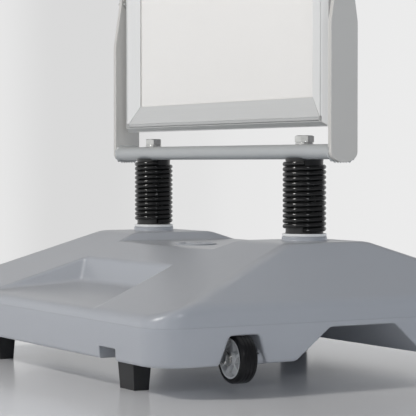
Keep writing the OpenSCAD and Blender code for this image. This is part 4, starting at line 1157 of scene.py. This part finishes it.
def setFasteners(name, shape, node, spots):
    # spots: place and outward aim of each fastener, in millimetres and degrees
    finish = bolts["finish"]
    pattern = bpy.data.objects.new(name + "Pattern", meshFrom(name + "Pattern", *shape))
    scene.collection.objects.link(pattern)
    start = bpy.data.meshes.new(name + "Spots")
    start.from_pydata([tuple(c * mm for c in place) for place, _ in spots], [], [])
    aims = start.attributes.new("aim", "FLOAT_VECTOR", "POINT")
    aims.data.foreach_set("vector", [math.radians(a) for _, aim in spots for a in aim])
    mesh = growMesh(name, setOut, {"Pattern": pattern, "Finish": made[finish]}, start)
    bpy.data.objects.remove(pattern)
    addPiece(name, mesh, finish, node, limit=30)


bolts = {
    "finish": "zincPlate",
    "springAcross": 18.96, "springHead": 7.5, "springNut": 9.96, "springPlain": 6,
    "headTurns": (-1, 22),   # degrees that the left and the right head on the crossbar stand turned by
    "lowerHeadZ": 143.0, "barTop": 256.8, "lockWasher": 2.5,
    "panelAcross": 13, "panelHead": 5.3, "panelNut": 6.4, "panelPlain": 4,
    "panelSeatX": 252.9, "panelTipX": 225.5, "panelNutX": 240.1, "panelHeights": (443, 563),
    "axleAcross": 12.96, "axleHead": 5.28, "axlePlain": 26, "axleSeat": 12.92, "axleTip": 28.3,
}


def bySprings(height, *aims):
    return [((sign * springs["x"], 0, height), aim) for sign, aim in zip(sides.values(), aims)]


def byUprights(out):
    return [((sign * out, 0, z), (0, 90 * sign, 0)) for sign in sides.values() for z in bolts["panelHeights"]]


b, m12, m8 = bolts, threads["m12"], threads["m8"]
upright, upended = (0, 0, 0), (180, 0, 0)
upperSeat = b["barTop"] + b["lockWasher"]
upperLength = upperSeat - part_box("upper_bolts")[0].z / mm
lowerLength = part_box("lower_bolts")[1].z / mm - b["lowerHeadZ"]
springNut = fastener(b["springAcross"], b["springNut"], m12)
setFasteners(
    "upperSpringBolts", fastener(b["springAcross"], b["springHead"], m12, upperLength, b["springPlain"]),
    "upper_bolts", bySprings(upperSeat, *((0, 0, turn) for turn in b["headTurns"])))
setFasteners(
    "lowerSpringBolts", fastener(b["springAcross"], b["springHead"], m12, lowerLength, b["springPlain"]),
    "lower_bolts", bySprings(b["lowerHeadZ"], upended, upended))
for name, node in (("lowerSpringNuts", "lower_nuts"), ("upperSpringNuts", "upper_nuts")):
    setFasteners(name, springNut, node, bySprings(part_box(node)[0].z / mm, upright, upright))
panelLength = b["panelSeatX"] - b["panelTipX"]
setFasteners(
    "panelBoltSet", fastener(b["panelAcross"], b["panelHead"], m8, panelLength, b["panelPlain"]),
    "panel_bolts", byUprights(b["panelSeatX"]))
setFasteners(
    "panelNutSet", fastener(b["panelAcross"], b["panelNut"], m8), "panel_nuts", byUprights(b["panelNutX"]))
out = wheel["y"] + b["axleSeat"]
axleSpots = [((wheel["x"], sign * out, wheel["z"]), (-90 * sign, 0, 0)) for sign in (-1, 1)]
setFasteners(
    "axleBoltSet", fastener(b["axleAcross"], b["axleHead"], m8, b["axleSeat"] + b["axleTip"], b["axlePlain"]),
    "axle_bolts", axleSpots)
print("stage: fasteners")

softPieces = {   # node: millimetres that its edges are broken by, and its finish
    "feet": (1.0, "footRubber"),
    "axle_washers": (0.3, "zincPlate"), "axle_inserts": (0.3, "turnedBrass"),
    "lower_washers": (0.3, "zincPlate"), "lock_washers": (0.35, "zincPlate"),
    # the crossbar takes the darkened copy of the grey paint: painted shade
    "crossbar": (0.3, "barPaintShaded"), "upright_left": (0.9, "greyPaint"), "upright_right": (0.9, "greyPaint"),
    "panel_spacers": (0.3, "zincPlate"), "strip_nuts": (0.4, "zincPlate"), "corner_keys": (0.4, "zincPlate"),
    "snap_clips": (0.1, "clipSteel"), "backing_board": (0.5, "foamBoard"),
    "poster_front": (0.05, "posterPaper"), "poster_back": (0.05, "posterPaper"),
    "cover_front": (0.1, "clearSheet"), "cover_back": (0.1, "clearSheet"),
}
for name, (width, finish) in softPieces.items():
    softened(name, width, finish)
print("stage: softened pieces")

barDeeper = 1.3   # millimetres that the bar reaches below the CAD's
weld = {
    "length": 5.5, "proud": 3.0, "into": 1.3, "power": 1.7, "gap": 0.03, "tuck": 0.25, "noseShare": 0.35,
    "ripple": 0.34, "ripples": 22, "lean": 0.8, "steps": 12, "noseStep": 9, "flatSteps": 16,
}


# the weld round each end of the crossbar, a rippled fillet that dies out at the bar's nose
def barOutline():
    # (across, up, outward across, outward up) round the flat oval bar
    low, high = (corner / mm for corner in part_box("crossbar"))
    low.z -= barDeeper
    r = (high.z - low.z) / 2
    reach = (high.y - low.y) / 2 - r
    points = []
    for side in (1, -1):
        nose = [(cosine(a), sine(a)) for a in range(-90, 91, weld["noseStep"])]
        points += [(side * (reach + r * c), side * r * s, side * c, side * s) for c, s in nose]
        steps = weld["flatSteps"]
        points += [(side * reach * (1 - 2 * s / steps), side * r, 0, side) for s in range(1, steps)]
    return points, (low.z + high.z) / 2, high.x


outline, level, barEnd = barOutline()
count, rings = len(outline), weld["steps"] + 2
vertices, faces = [], []
for sign in (-1, 1):
    start = len(vertices)
    for step in range(-1, weld["steps"] + 1):
        along = step / weld["steps"]
        fall = max(0.0, 1 - max(along, 0)) ** weld["power"]
        for i, (y, z, ny, nz) in enumerate(outline):
            turn = weld["ripples"] * i / count + along * weld["lean"]
            wave = 1 + weld["ripple"] * math.sin(2 * math.pi * turn)
            tuck = weld["tuck"] if step == weld["steps"] else 0
            out = weld["gap"] + weld["proud"] * fall * abs(nz) * wave - tuck
            share = weld["noseShare"] + (1 - weld["noseShare"]) * abs(nz)
            away = -weld["into"] if step < 0 else along * weld["length"] * share
            vertices.append((sign * (barEnd - away), y + ny * out, level + z + nz * out))
    for ring in range(rings - 1):
        faces += bandFaces(start + ring * count, start + (ring + 1) * count, count)
    last = start + (rings - 1) * count
    faces += [list(range(start, start + count)), list(range(last, last + count))[::-1]]
barLow, barHigh = (corner.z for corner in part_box("crossbar"))
barGrow = 1 + barDeeper * mm / (barHigh - barLow)
for vertex in bpy.data.objects["crossbarSoft"].data.vertices:
    vertex.co.z = barHigh - (barHigh - vertex.co.z) * barGrow
# the welds take the crossbar's darkened copy of the grey paint: painted shade
addPiece("weldBeads", meshFrom("weldBeads", vertices, faces), "barPaintShaded", "weld_beads", limit=60)
print("stage: welds")

# the snap flaps: one drawn section, mitred at both ends
flaps = {
    "width": 464, "height": 638, "foot": 276, "middle": 595, "hingeU": 8.4, "hingeV": 9.6, "bead": 2.4,
    "skin": 1.3, "root": (9.95, 10.9), "inner": 32.0,
    "ridge": (12.0, 7.6), "fold": (7.2, 26.3), "foldBack": 0.4,
    "edge": 5.9, "lip": 5.09, "footWidth": 4.5, "gap": 0.3,
    "rounds": [0.5, 1.2, 0.3, 0.25, 0.2, 0.3, 0],
    "clear": 11.2, "clearDepth": 11.7,   # the bead stops short of the corner
}
edges = ("bottom", "top", "left", "right")


def flapSection():
    # (depth, distance inwards) round the section, from the hinge bead along the face to the lip
    f = flaps
    v, u = f["hingeV"], f["hingeU"]
    bead = [(v + f["bead"] * cosine(a), u + f["bead"] * sine(a)) for a in range(120, 331, 15)]
    under = (f["fold"][0] - f["skin"], f["fold"][1] - f["foldBack"])
    face = roundedOutline([
        f["ridge"], f["fold"], (f["edge"], f["inner"]), (f["lip"], f["inner"]),
        (f["lip"], f["inner"] - f["footWidth"]), under, f["root"],
    ], f["rounds"], steps=3)
    return bead + face


def isLevel(edge):
    return edge in ("bottom", "top")


def halfLength(edge):
    return (flaps["width"] if isLevel(edge) else flaps["height"]) / 2


# the level sections take the darkened copy of the aluminium: painted shade
def sectionFinish(edge):
    return "aluminiumLevelShaded" if isLevel(edge) else "aluminiumUpright"


def onEdge(edge):
    # X runs along the edge, Z inwards from it
    if edge == "bottom":
        return at(0, 0, flaps["foot"])
    if edge == "top":
        return at(0, 0, flaps["foot"] + flaps["height"]) @ Matrix.Rotation(math.pi, 4, "Y")
    if edge == "left":
        return at(-flaps["width"] / 2, 0, flaps["middle"]) @ Matrix.Rotation(math.pi / 2, 4, "Y")
    return at(flaps["width"] / 2, 0, flaps["middle"]) @ Matrix.Rotation(-math.pi / 2, 4, "Y")


# each rail has its CAD section, with the sloping outer lip that closes up to the flap
railLip = {
    "width": 0.25, "from": (6.5, 0.2), "crest": 11.8, "crestAt": 5.0, "wall": 0.6, "inner": (9.2, 5.4),
    "foot": (7.0, 1.7), "gap": 0.05, "edges": [0.3, 0.5, 0.35, 0, 0],
}


def railMesh(edge):
    r = railLip
    crest, wallTop = (r["crest"], r["crestAt"]), (r["crest"], r["crestAt"] + r["wall"])
    lip = roundedOutline([r["from"], crest, wallTop, r["inner"], r["foot"]], r["edges"], steps=4)
    place, half, count = onEdge(edge), halfLength(edge), len(lip)
    mesh, work = roundedCopy("rail_" + edge, r["width"])
    added = []
    for sign in (-1, 1):
        left, right = (
            [work.verts.new(place @ Vector((end * (half - u - r["gap"]), sign * v, u)) * mm) for v, u in lip]
            for end in (-1, 1))
        for i, j in zip(range(count), [*range(1, count), 0]):
            added.append(work.faces.new((left[i], left[j], right[j], right[i])))
        added += [work.faces.new(left[::-1]), work.faces.new(right)]
    bmesh.ops.recalc_face_normals(work, faces=added)
    return putBack(mesh, work)


for edge in edges:
    addPiece("rail" + edge.capitalize(), railMesh(edge), sectionFinish(edge), "rail_" + edge)

section = flapSection()
count = len(section)
faces = bandFaces(0, count, count) + [list(range(count))[::-1], list(range(count, 2 * count))]
for face, sign in {"front": -1, "back": 1}.items():
    for edge in edges:
        half, place = halfLength(edge), onEdge(edge)
        vertices = []
        for end in (-1, 1):
            for v, u in section:
                along = half - max(u, 0) - flaps["gap"]
                if u < flaps["clear"] and v < flaps["clearDepth"]:
                    along = min(along, half - flaps["clear"])
                vertices.append(tuple(place @ Vector((end * along, sign * v, u))))
        node = f"flap_{face}_{edge}"
        mesh = meshFrom(node, vertices, faces)
        work = bmesh.new()
        work.from_mesh(mesh)
        name = f"flap{face.capitalize()}{edge.capitalize()}"
        addPiece(name, putBack(mesh, work), sectionFinish(edge), node, limit=20)
print("stage: flaps")
